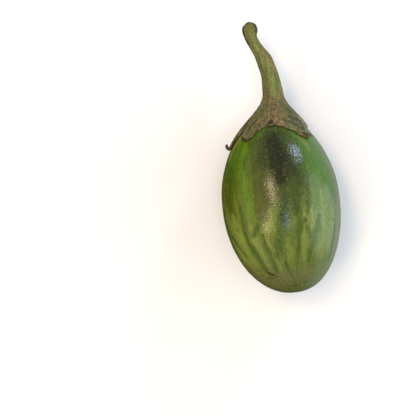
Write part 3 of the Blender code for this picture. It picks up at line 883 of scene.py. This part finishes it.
# A swelling on the knob's side: height, station, angle, and its widths round and along
BOSS_HEIGHT, BOSS_STATION, BOSS_ANGLE = 0.42 * MM, 92.8 * MM, math.radians(85.0)
BOSS_ROUND, BOSS_ALONG = 0.7, 2.0 * MM
STEM_LENGTH = 38.0 * MM

_, _, cap_down, cap_out = on_skin(FLARE_FROM)
cap_radius = np.interp(FLARE_FROM, from_apex, meridian_radius) - inner_top * cap_down
cap_t = np.interp(FLARE_FROM, from_apex, meridian_t) + inner_top * cap_out
neck_radius = STEM[0, 3] * stem_ridge(calyx_theta)
pulls = (
    (cap_t, cap_radius),
    (cap_t - FLARE_PULLS[0] * cap_down, cap_radius - FLARE_PULLS[0] * cap_out),
    (np.full_like(cap_t, NECK_STATION - FLARE_PULLS[1]), neck_radius),
    (np.full_like(cap_t, NECK_STATION), neck_radius),
)
for row in range(1, FLARE_ROWS + 1):
    s = row / FLARE_ROWS
    weights = (1 - s) ** 3, 3 * s * (1 - s) ** 2, 3 * s**2 * (1 - s), s**3
    t, radius = (sum(w * pull[axis] for w, pull in zip(weights, pulls)) for axis in range(2))
    section.append((place(t, radius, calyx_theta), reach - FLARE_FROM * (1.0 - s), 1.0))
for row in range(1, STEM_ROWS + 1):
    past_knob = max(0.0, (row / STEM_ROWS - KNOB_FROM) / (1.0 - KNOB_FROM))
    ring, outwards = stem_ring(row / STEM_ROWS, calyx_theta, 1.0 - KNOB_ROUNDING * past_knob**KNOB_POWER)
    off_boss = np.hypot((calyx_theta - BOSS_ANGLE) / BOSS_ROUND, (ring[:, 1] - BOSS_STATION) / BOSS_ALONG)
    ring = ring + BOSS_HEIGHT * np.exp(-(off_boss**2))[:, None] * outwards
    section.append((ring, reach + STEM_LENGTH * row / STEM_ROWS, 1.0))
for row in range(1, SCAR_ROWS + 1):
    share = 1.0 - row / (SCAR_ROWS + 1)
    height = np.interp(share, SCAR_SHARES, SCAR_HEIGHTS)
    ring, _ = stem_ring(1.0, calyx_theta, share * (1.0 - KNOB_ROUNDING), height)
    section.append((ring, reach + STEM_LENGTH, 1.0))

calyx_rings = np.array([points for points, *_ in section])
from_margin = np.array([distance for _, distance, _ in section])
outside = np.array([np.full_like(reach, side) for *_, side in section])

# %% [markdown]
# Relief is added to the outside as real geometry: fine ribs 1.2 mm apart that run from the stem into the
# lobes, and low corky grains 1 mm across over the middle of the cap. It is pushed out along the surface's
# own direction, which comes from the neighbours of each point, and only on the outside, so the thin
# margin isn't torn.

# %% Relief of the calyx and stem
RIB_HEIGHT, GRAIN_HEIGHT = 0.055 * MM, 0.075 * MM
RIB_SPACING, RIB_LENGTH, GRAIN_SPACING = 1.2 * MM, 11.0 * MM, 1.1 * MM
CAP_STATIONS, SCAR_STATIONS = (62.0 * MM, 52.0 * MM), (96.5 * MM, 95.0 * MM)
STEM_GRAINS, SCAR_RELIEF = 0.35, 0.4  # share of the relief that is left there
SETTLED_FROM, SETTLED_TO = 0.2 * MM, 2.0 * MM  # from the margin

round_way = np.roll(calyx_rings, -1, axis=1) - np.roll(calyx_rings, 1, axis=1)
up_way = np.gradient(calyx_rings, axis=0)
outward = np.cross(round_way, up_way)
outward /= np.linalg.norm(outward, axis=-1, keepdims=True) + MM**4
ribs = ripple(calyx_rings / (RIB_SPACING, RIB_LENGTH, RIB_SPACING), 1.0, 21)
grains = ripple(calyx_rings, GRAIN_SPACING, 22)
on_cap = smooth_step(calyx_rings[..., 1], *CAP_STATIONS)
swell = RIB_HEIGHT * ribs + GRAIN_HEIGHT * grains * (STEM_GRAINS + (1.0 - STEM_GRAINS) * on_cap)
settled = smooth_step(from_margin, SETTLED_FROM, SETTLED_TO) * (outside > 0.99)
below_scar = smooth_step(calyx_rings[..., 1], *SCAR_STATIONS)
shown = settled * (SCAR_RELIEF + (1.0 - SCAR_RELIEF) * below_scar)
calyx_rings = calyx_rings + (swell * shown)[..., None] * outward
under_apex = place(SHOULDER_LENGTH + CALYX_GAP, 0.0, 0.0)
scar_middle, _ = stem_ring(1.0, calyx_theta, 0.0, SCAR_HEIGHTS[0])
calyx = turned_mesh("calyx_and_stem_skin", under_apex, calyx_rings, scar_middle[0])
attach(calyx, "root")
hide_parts("calyx_and_stem")

# %% [markdown]
# Where the calyx and stem change colour
#
# As on the skin, brush strokes say where. A stroke's first number is now the height of its place along the
# fruit's axis, in mm. The dry colours come first: a corky patch over the front of the cap, tan and brown
# bits, a golden left edge and a pale right one.

# %% Dry strokes on the calyx and stem
calyx_strokes = {}
calyx_strokes["cork"] = (
    ((56, 2, 1.2), (52, 4, 4.0), (48.5, 2, 6.5), (45, -3, 6.5), (42.5, -6, 4.5)),
    ((46, -27, 1.5), (43, -30, 2.4), (40, -31, 1.8)),
    ((47, 17, 2.0), (43, 14, 3.0)),
)
calyx_strokes["pink_tan"] = (
    ((55, -50, 0.5), (52, -56, 0.9), (49.5, -60, 1.1), (46, -70, 1.1)),
    ((47, 55, 0.7), (45, 50, 1.1), (43.5, 40, 0.8)),
    ((39, -53, 0.7), (37, -50, 1.3), (35.8, -46, 1.0)),
    ((80.5, 14, 0.4), (79, 20, 0.8), (77, 24, 0.9), (74, 28, 1.2), (70.5, 26, 1.0), (67, 22, 0.7)),
    ((71, 4, 0.4), (69, 6, 0.6), (66, 12, 0.4)),
    ((76, -10, 0.6), (74, -12, 0.7), (72, -10, 0.4)),
    ((62, 45, 0.6), (58, 50, 0.9), (54, 55, 0.8)),
)
calyx_strokes["brown_bits"] = (
    ((95, -12, 0.7), (93, -10, 1.0), (90, -16, 0.8), (88, -22, 0.4)),
    ((65, -26, 0.4), (63.5, -28, 0.6), (61, -26, 0.4)),
    ((60, -8, 0.7), (58.5, -4, 0.8)),
    ((70, -12, 0.5), (68.5, -14, 0.4)),
    ((61, -50, 0.8), (58, -44, 1.0), (56, -30, 0.8)),
    ((84, 18, 0.4), (82, 16, 0.5), (80, 8, 0.3)),
)
calyx_strokes["golden"] = (
    ((42, -76, 0.4), (38, -81, 0.7), (34, -86, 0.9), (31, -88, 0.9)),
    ((33.4, 49, 0.4), (33.4, 54, 0.4)),
)
calyx_strokes["pale_edge"] = (
    ((43.6, 57, 0.3), (41.5, 61, 0.6), (38.5, 64, 0.6), (37.0, 58, 0.5), (35.4, 50, 0.4)),
)
print(sum(len(strokes) for strokes in calyx_strokes.values()), "strokes so far")

# %% [markdown]
# Green is left where the tissue is still alive: in streaks up the stem, and dark between the lobes' fibres.

# %% Green strokes on the calyx and stem
calyx_strokes["light_green"] = (
    ((90, -8, 0.5), (87.2, -5, 1.0), (83.8, -4, 1.1), (81, -8, 0.7)),
    ((79, -18, 0.5), (75, -26, 0.7), (71, -30, 0.5)),
    ((74, 6, 0.7), (68, 2, 1.4), (62, 0, 2.0), (57, 0, 2.2)),
)
calyx_strokes["fresh_green"] = (
    ((80, -40, 0.6), (76, -46, 0.9), (72, -48, 0.9), (68, -42, 0.9), (66, -36, 0.5)),
    ((72, 2, 0.5), (68, -6, 0.8), (64, 0, 0.7)),
    ((66, 28, 0.6), (62.6, 14, 0.9), (59.3, 12, 0.7)),
    ((63.5, -16, 0.6), (61, -18, 0.7)),
    ((88, 20, 0.5), (85, 28, 0.5), (81, 40, 0.5), (77, 55, 0.6)),
    ((52, -36, 1.2), (48, -40, 1.5), (45, -38, 0.9)),
    ((52, 32, 1.2), (48, 36, 1.8), (45, 33, 1.2)),
)
calyx_strokes["dark_green"] = (
    ((44.5, -39, 0.5), (42.4, -43, 0.9), (40.4, -44, 0.9), (37.4, -45, 0.5)),
    ((42.4, -28, 0.3), (40.0, -27, 0.5), (37.4, -31, 0.3)),
    ((44.0, 30, 0.5), (43.2, 36, 1.2), (42.4, 43, 1.4), (41.4, 49, 1.0)),
    ((41.3, 49, 0.5), (39.0, 48, 0.7), (36.0, 45, 0.6)),
    ((42.3, 16, 0.4), (41.2, 26, 0.5), (38.8, 35, 0.5)),
    ((48.5, 38, 0.5), (46.5, 42, 0.7), (45.5, 46, 0.4)),
    ((41.5, 32, 0.4), (38.5, 39, 0.8), (36.5, 43, 0.6)),
)
print(sum(len(strokes) for strokes in calyx_strokes.values()), "strokes so far")

# %% [markdown]
# The margin has dried dark in places, and painted shade darkens it further: lines along the lobes'
# edges, the notch at the front, the left lobe seen edge-on and the sides of the knob. Painted shade also
# makes the stem's flanks darker than its top.

# %% Dark strokes on the calyx and stem
# partly the margin's own dried brown, partly painted shade and shadow lines on the lobes' edges, the notch
# and the knob's sides
calyx_strokes["dried_edge_and_shade"] = (
    ((41.0, -12, 0.5), (41.8, -8, 1.0), (42.6, -5.5, 0.7)),
    ((41.6, -8, 0.7), (41.3, -4, 0.5)),
    ((47.1, -74, 0.4), (43.8, -68, 0.6), (40.3, -63, 0.6), (36.3, -56, 0.5)),
    ((36.0, -52, 0.4), (34.8, -48, 0.7), (34.4, -42, 0.6)),
    ((34.6, 40, 0.4), (33.4, 45, 0.9), (32.8, 56, 0.6)),
    ((95.2, 40, 0.6), (94, 50, 0.9), (92.2, 54, 0.9), (90, 50, 0.4)),
    ((95.5, -60, 0.4), (90, -72, 0.5), (85, -68, 0.3)),
    ((46, -82, 0.9), (41, -89, 0.9), (37, -95, 0.8), (33, -97, 0.7)),
)
# painted shade: the stem's flanks, darkened where they turn away from the light
calyx_strokes["stem_flank_shade"] = (
    ((94, -84, 0.7), (86, -80, 0.6), (78, -80, 0.6), (68, -82, 0.8), (58, -84, 1.1)),
    ((94, 84, 0.7), (86, 80, 0.5), (78, 82, 0.6), (68, 82, 0.8), (58, 84, 1.1)),
)
print(sum(len(strokes) for strokes in calyx_strokes.values()), "strokes so far")

# %% [markdown]
# The strokes are measured round the middle line of the stem and the cap. The fibres need a place that grew
# with them, so each vertex also notes where it would lie on a tube that is equally wide all along.

# %% Strokes placed on the calyx and stem
CALYX_COPIES = ((1, 170.0, -76.0, 30.0), (-1, 235.0, -47.0, 60.0))
SHEET_RADIUS = 10.0  # mm, of the tube on which the fibres are laid out, the same all along

middle_line = np.array([stem_station(share)[0] for share in np.linspace(0.0, 1.0, 200)])
axis_x = np.interp(calyx_rings[..., 1], middle_line[:, 1], middle_line[:, 0], left=STEM[0, 0])
axis_z = np.interp(calyx_rings[..., 1], middle_line[:, 1], middle_line[:, 2], left=AXIS_HEIGHT)
from_middle = np.hypot(calyx_rings[..., 0] - axis_x, calyx_rings[..., 2] - axis_z)
ring_theta = np.broadcast_to(calyx_theta, from_middle.shape)
round_x, round_z = SHEET_RADIUS * np.sin(ring_theta), SHEET_RADIUS * np.cos(ring_theta)
growth = np.stack([round_x, calyx_rings[..., 1] / MM, round_z], axis=-1)
note(calyx, "growth_place", growth)
note(calyx, "from_margin", from_margin / MM)
note(calyx, "outside", outside)
for name, strokes in calyx_strokes.items():
    placed = all_round(strokes, CALYX_COPIES)
    note(calyx, name, stroke_depth(placed, calyx_rings[..., 1], ring_theta, from_middle))
print(len(calyx_strokes), "kinds of stroke on the calyx and stem")

# %% [markdown]
# Leathery calyx and green bark: the fibres
#
# The calyx is tough leaf tissue drying from its edge inwards, and the stem is young wood under a green
# bark. Both are dull. The eye finds them by their lengthwise fibres, here about 1 mm apart on the cap and
# closer on the stem because they fan out with the growth, and by corky grains where the surface has
# cracked and healed. Fibres and grains together also fray the strokes.

# %% Fibres and grains
FIBRE_ACROSS, FIBRE_ALONG, GRAIN_SIZE = 1.1, 6.0, 1.25  # mm
FINER_ON_CAP, STEM_FIBRES_TO, CAP_FIBRES_FROM = 3.0, 60.0, 50.0  # times, and mm along the axis
CALYX_FRAY = 2.2  # how strongly fibres and grains move an edge

calyx_tree, calyx_shader = new_finish("leathery_calyx_and_bark", calyx, Roughness=0.6, IOR=1.4)
growth_place = add(calyx_tree, "Attribute", {}, "Vector", attribute_name="growth_place")
calyx_metres = add(calyx_tree, "TexCoord", {}, "Object")
calyx_mm = add(calyx_tree, "VectorMath", {0: calyx_metres, "Scale": 1.0 / MM}, operation="SCALE")
fibre_scale = (1.0 / FIBRE_ACROSS, 1.0 / FIBRE_ALONG, 1.0 / FIBRE_ACROSS)
fibre_place = add(calyx_tree, "Mapping", {"Vector": growth_place, "Scale": fibre_scale})
thick_fibres = {"Vector": fibre_place, "Scale": 1.0, "Detail": 3.0, "Roughness": 0.6}
thick_fibres = add(calyx_tree, "TexNoise", thick_fibres)
fine_fibres = {"Vector": fibre_place, "Scale": FINER_ON_CAP, "Detail": 2.0, "Roughness": 0.6}
fine_fibres = add(calyx_tree, "TexNoise", fine_fibres)
axis_place = add(calyx_tree, "SeparateXYZ", {"Vector": growth_place}, "Y")
fanned = {"Value": axis_place, "From Min": STEM_FIBRES_TO, "From Max": CAP_FIBRES_FROM, "To Max": 0.75}
fanned = add(calyx_tree, "MapRange", fanned)
fibres = add(calyx_tree, "Mix", {0: fanned, 2: thick_fibres, 3: fine_fibres}, data_type="FLOAT")
grain = {"Vector": calyx_mm, "Scale": 1.0 / GRAIN_SIZE, "Detail": 3.0, "Roughness": 0.6}
grainy = add(calyx_tree, "TexNoise", grain)
both = add(calyx_tree, "Math", {0: fibres, 1: grainy}, operation="ADD")
about_zero = add(calyx_tree, "Math", {0: both, 1: 1.0}, operation="SUBTRACT")
calyx_fray = add(calyx_tree, "Math", {0: about_zero, 1: CALYX_FRAY}, operation="MULTIPLY")
stem_fibre = FIBRE_ACROSS * float(STEM[2, 3]) / MM / SHEET_RADIUS
print("fibres on the stem:", round(stem_fibre, 2), "mm wide, grains:", GRAIN_SIZE, "mm across")

# %% [markdown]
# Leathery calyx and green bark: the ground
#
# The cap is olive with tan fibres. Up the axis it turns brown where it flares, then green along the stem,
# and brown again on the torn end.

# %% Calyx ground
CALYX_OLIVE, CALYX_TAN = "#5b5e30", "#746d42"
UP_THE_STEM = (  # colour, and the heights along the axis (mm) between which it comes in
    ("#6c6430", 51.0, 57.0),
    ("#69702d", 54.5, 61.0),
    ("#544426", 95.2, 96.6),
)
HEIGHT_WANDER = 2.0  # mm by which the borders wander

height = {0: calyx_fray, 1: HEIGHT_WANDER, 2: axis_place}
height = add(calyx_tree, "Math", height, operation="MULTIPLY_ADD")
tan_share = {"Value": fibres, "From Min": 0.40, "From Max": 0.62}
tan_share = add(calyx_tree, "MapRange", tan_share, interpolation_type="SMOOTHSTEP")
mix = {MIX_FACTOR: tan_share, MIX_A: linear(CALYX_OLIVE), MIX_B: linear(CALYX_TAN)}
calyx_colour = add(calyx_tree, "Mix", mix, MIX_RESULT, data_type="RGBA")
for colour, low, high in UP_THE_STEM:
    share = add(calyx_tree, "MapRange", {"Value": height, "From Min": low, "From Max": high, "To Max": 0.85})
    mix = {MIX_FACTOR: share, MIX_A: calyx_colour, MIX_B: linear(colour)}
    calyx_colour = add(calyx_tree, "Mix", mix, MIX_RESULT, data_type="RGBA")
print("ground:", len(UP_THE_STEM) + 2, "colours")

# %% [markdown]
# Leathery calyx and green bark: the layers
#
# The same brushing function as for the skin lays the strokes. The corky patch comes first, and the grains
# lie over it, tan where the surface has healed and dark green in the cracks.

# %% Calyx layers
CALYX_LAYERS = (  # the same columns as for the skin
    ("cork", "#6d5c37", 0.70, -0.80, 0.90, "fibrous"),
    ("pink_tan", "#80694c", 0.70, -0.80, 0.90, "fibrous"),
    ("brown_bits", "#6a5730", 0.70, -0.80, 0.80, "fibrous"),
    ("fresh_green", "#54652c", 0.65, -0.80, 0.90, "fibrous"),
    ("light_green", "#768144", 0.75, -0.90, 1.00, "fibrous"),
    ("dark_green", "#313a22", 0.80, -0.80, 0.85, "fibrous"),
    ("pale_edge", "#a5a082", 0.85, -0.60, 0.60, "fibrous"),
    ("golden", "#8a7433", 0.80, -0.50, 0.60, "fibrous"),
    # painted shade on the stem's flanks
    ("stem_flank_shade", "#3c3a1c", 0.70, -0.60, 0.90, "fibrous"),
    # dried brown edges with painted shade and shadow lines
    ("dried_edge_and_shade", "#2e1e18", 0.92, -0.60, 0.60, "fibrous"),
)
GRAINS = (  # colour, and the noise at which it starts and is full
    ("#967859", 0.53, 0.68),
    ("#3c4226", 0.46, 0.33),
)
GRAINS_ELSEWHERE = 0.30  # how much they cover outside the corky patches

calyx_colour = brushed(calyx_tree, calyx_colour, CALYX_LAYERS[:1], {"fibrous": calyx_fray})
cork_depth = add(calyx_tree, "Attribute", {}, "Fac", attribute_name="cork")
corky = {"Value": cork_depth, "From Min": -0.6, "From Max": 0.3, "To Min": GRAINS_ELSEWHERE}
corky = add(calyx_tree, "MapRange", corky)
for colour, low, high in GRAINS:
    mask = add(calyx_tree, "MapRange", {"Value": grainy, "From Min": low, "From Max": high, "To Max": corky})
    mix = {MIX_FACTOR: mask, MIX_A: calyx_colour, MIX_B: linear(colour)}
    calyx_colour = add(calyx_tree, "Mix", mix, MIX_RESULT, data_type="RGBA")
calyx_colour = brushed(calyx_tree, calyx_colour, CALYX_LAYERS[1:], {"fibrous": calyx_fray})
print(len(CALYX_LAYERS), "layers of strokes and", len(GRAINS), "of grains")

# %% [markdown]
# Leathery calyx and green bark: specks, underside and dry edge
#
# Fine specks, 0.7 mm across, darken and lighten the whole surface. The underside of the cap never saw the
# sun and is a paler brown, and the last half millimetre at the margin has dried dark.

# %% Specks and dry edge
UNDERSIDE, EDGE_BROWN = "#846c2f", "#372519"
SPECKLE_SIZE, EDGE_WANDER, DRY_EDGE = 0.7, 0.35, 0.55  # mm

speckle = {"Vector": calyx_mm, "Scale": 1.0 / SPECKLE_SIZE, "Detail": 2.0, "Roughness": 0.7}
speckle = add(calyx_tree, "TexNoise", speckle)
speckle = add(calyx_tree, "Math", {0: fibres, 1: speckle}, operation="ADD")
speckle = {"Value": speckle, "From Min": 0.75, "From Max": 1.25, "To Min": 0.45, "To Max": 1.50}
speckle = add(calyx_tree, "MapRange", speckle)
mix = {MIX_FACTOR: 1.0, MIX_A: calyx_colour, MIX_B: speckle}
calyx_colour = add(calyx_tree, "Mix", mix, MIX_RESULT, data_type="RGBA", blend_type="MULTIPLY")

side = add(calyx_tree, "Attribute", {}, "Fac", attribute_name="outside")
mix = {MIX_FACTOR: side, MIX_A: linear(UNDERSIDE), MIX_B: calyx_colour}
calyx_colour = add(calyx_tree, "Mix", mix, MIX_RESULT, data_type="RGBA")
from_edge = add(calyx_tree, "Attribute", {}, "Fac", attribute_name="from_margin")
from_edge = add(calyx_tree, "Math", {0: calyx_fray, 1: EDGE_WANDER, 2: from_edge}, operation="MULTIPLY_ADD")
at_edge = {"Value": from_edge, "From Min": DRY_EDGE, "From Max": 0.10, "To Max": 0.85}
at_edge = add(calyx_tree, "MapRange", at_edge)
mix = {MIX_FACTOR: at_edge, MIX_A: calyx_colour, MIX_B: linear(EDGE_BROWN)}
calyx_colour = add(calyx_tree, "Mix", mix, MIX_RESULT, data_type="RGBA")
calyx_tree.links.new(calyx_colour, calyx_shader.inputs["Base Color"])
print("the colour of the calyx and stem takes", len(calyx_tree.nodes), "nodes")

# %% [markdown]
# Fibres and grains also stand up a little. The larger ones are already in the mesh, so the bump adds only
# what is finer than its points: about 0.04 mm.

# %% Calyx and stem surface
BARK_RELIEF = 0.07 * MM
relief = add(calyx_tree, "Math", {0: fibres, 1: 0.6, 2: grainy}, operation="MULTIPLY_ADD")
raised = add(calyx_tree, "Bump", {"Height": relief, "Distance": BARK_RELIEF, "Strength": 1.0})
calyx_tree.links.new(raised, calyx_shader.inputs["Normal"])
bark_dullness = {"Value": grainy, "From Min": 0.3, "From Max": 0.7, "To Min": 0.5, "To Max": 0.75}
calyx_tree.links.new(add(calyx_tree, "MapRange", bark_dullness), calyx_shader.inputs["Roughness"])
print("relief of the bark:", round(BARK_RELIEF / MM, 2), "mm of full noise")

# %% [markdown]
# The floor
#
# The fruit lies on a plain white card. The card has a rough finish, so it shows only the soft shadow.

# %% Floor
bpy.ops.mesh.primitive_plane_add(size=40.0)
floor = bpy.context.object
floor.name = "floor"
floor.visible_glossy = False  # the skin mirrors the room's lower half instead, which is dim on the left
new_finish("white_card", floor, Base_Color=linear("#fafafa"), Roughness=0.9)
print("floor:", round(floor.dimensions.x), "m wide")

# %% [markdown]
# The lamps
#
# The light is soft. A smooth fruit shows every lamp as a highlight, so each lamp is placed by the line on
# the skin that should mirror it to the camera: the directions from its two ends are the camera's own,
# reflected about the skin's normals there, and the lamp stretches from one to the other.

# %% Lamps
LAMP_DISTANCE = 1.0  # m
WATTS_FOR_FACE = 4.0  # for each square metre of a lamp whose face looks as bright as 1
# Each lamp: name, t (mm) and angle of its highlight's two ends, width (m), colour, brightness
LAMPS = (
    ("window", (26.8, 17.4), (22.0, 19.4), 0.25, "#c8deff", 12.8),
    ("warm_lamp", (13.6, -12.8), (0.2, -9.6), 0.19, "#ffdfb6", 8.8),
    ("small_lamp", (-6.6, -17.0), (-12.4, -23.0), 0.12, "#fff0cc", 8.5),
    ("small_window", (-6.4, -2.4), (-11.0, -2.0), 0.13, "#c6dcff", 8.5),
)
SKY_PLACE, CEILING_PLACE = (1.08, -0.18, 0.49), (-0.39, 0.08, 1.55)  # m


def seen_mirrored(t, degrees):
    """The point at LAMP_DISTANCE that the camera sees mirrored in the skin at this place."""
    t, theta, step = t * MM, math.radians(degrees), 0.1 * MM
    here = place(t, fruit_radius(t), theta)
    along = place(t + step, fruit_radius(t + step), theta) - place(t - step, fruit_radius(t - step), theta)
    across = place(t, fruit_radius(t), theta + 0.01) - place(t, fruit_radius(t), theta - 0.01)
    normal = np.cross(across, along)
    normal /= np.linalg.norm(normal)
    to_camera = np.array(camera.matrix_world.translation) - here
    to_camera /= np.linalg.norm(to_camera)
    return Vector(here + LAMP_DISTANCE * (2.0 * normal.dot(to_camera) * normal - to_camera))


def soft_light(name, centre, long_way, width, length, colour, brightness):
    """A soft box that faces the fruit, with its length in that direction. Its face looks this bright."""
    light = bpy.data.lights.new(name, "AREA")
    light.shape = "RECTANGLE"
    light.size, light.size_y = width, length
    light.color = linear(colour)[:3]
    light.energy = WATTS_FOR_FACE * width * length * brightness
    back = (centre - Vector((0.0, 0.0, AXIS_HEIGHT))).normalized()
    side = long_way.cross(back).normalized()
    box = bpy.data.objects.new(name, light)
    facing = Matrix((side, back.cross(side), back)).transposed().to_4x4()
    box.matrix_world = Matrix.Translation(centre) @ facing
    box.visible_camera = False
    bpy.context.scene.collection.objects.link(box)
    print(name, "stands", round(math.degrees(math.asin(back.z))), "degrees above the floor")
    return box


for name, upper, lower, width, colour, brightness in LAMPS:
    top, bottom = seen_mirrored(*upper), seen_mirrored(*lower)
    soft_light(name, (top + bottom) / 2.0, top - bottom, width, (top - bottom).length, colour, brightness)
soft_light("right_sky", Vector(SKY_PLACE), Vector((0.0, 0.0, 1.0)), 1.3, 0.8, "#f2f6ff", 1.3)
ceiling = soft_light("ceiling", Vector(CEILING_PLACE), Vector((0.0, 1.0, 0.0)), 1.6, 1.6, "#fffcf6", 1.0)
ceiling.visible_glossy = False  # it evens out the shadows, and the skin mirrors only the lamps above

# %% [markdown]
# The room
#
# The world round the scene stands for the room. It is dim above the floor's level. Below it, it is as
# bright as the floor, but only on the right, because the fruit's left edge shows no bright rim.

# %% Room
ROOM, ROOM_BELOW = 0.4, 0.7
world = bpy.data.worlds.new("room")
world.use_nodes = True
room_tree = world.node_tree
background = room_tree.nodes["Background"]
background.inputs["Color"].default_value = linear("#f7f9ff")
looking = add(room_tree, "TexCoord", {}, "Generated")
to_right = add(room_tree, "SeparateXYZ", {0: looking}, "X")
upwards = add(room_tree, "SeparateXYZ", {0: looking}, "Z")
below = {"Value": to_right, "From Min": 0.1, "From Max": 0.6, "To Max": ROOM_BELOW}
below = add(room_tree, "MapRange", below)
above = add(room_tree, "MapRange", {"Value": upwards, "From Min": -0.04, "From Max": 0.02})
both = {0: above, 2: below, 3: ROOM}
glow = add(room_tree, "Mix", both, data_type="FLOAT")
room_tree.links.new(glow, background.inputs["Strength"])
bpy.context.scene.world = world
print("room:", ROOM, "above the horizon, up to", ROOM_BELOW, "below it")
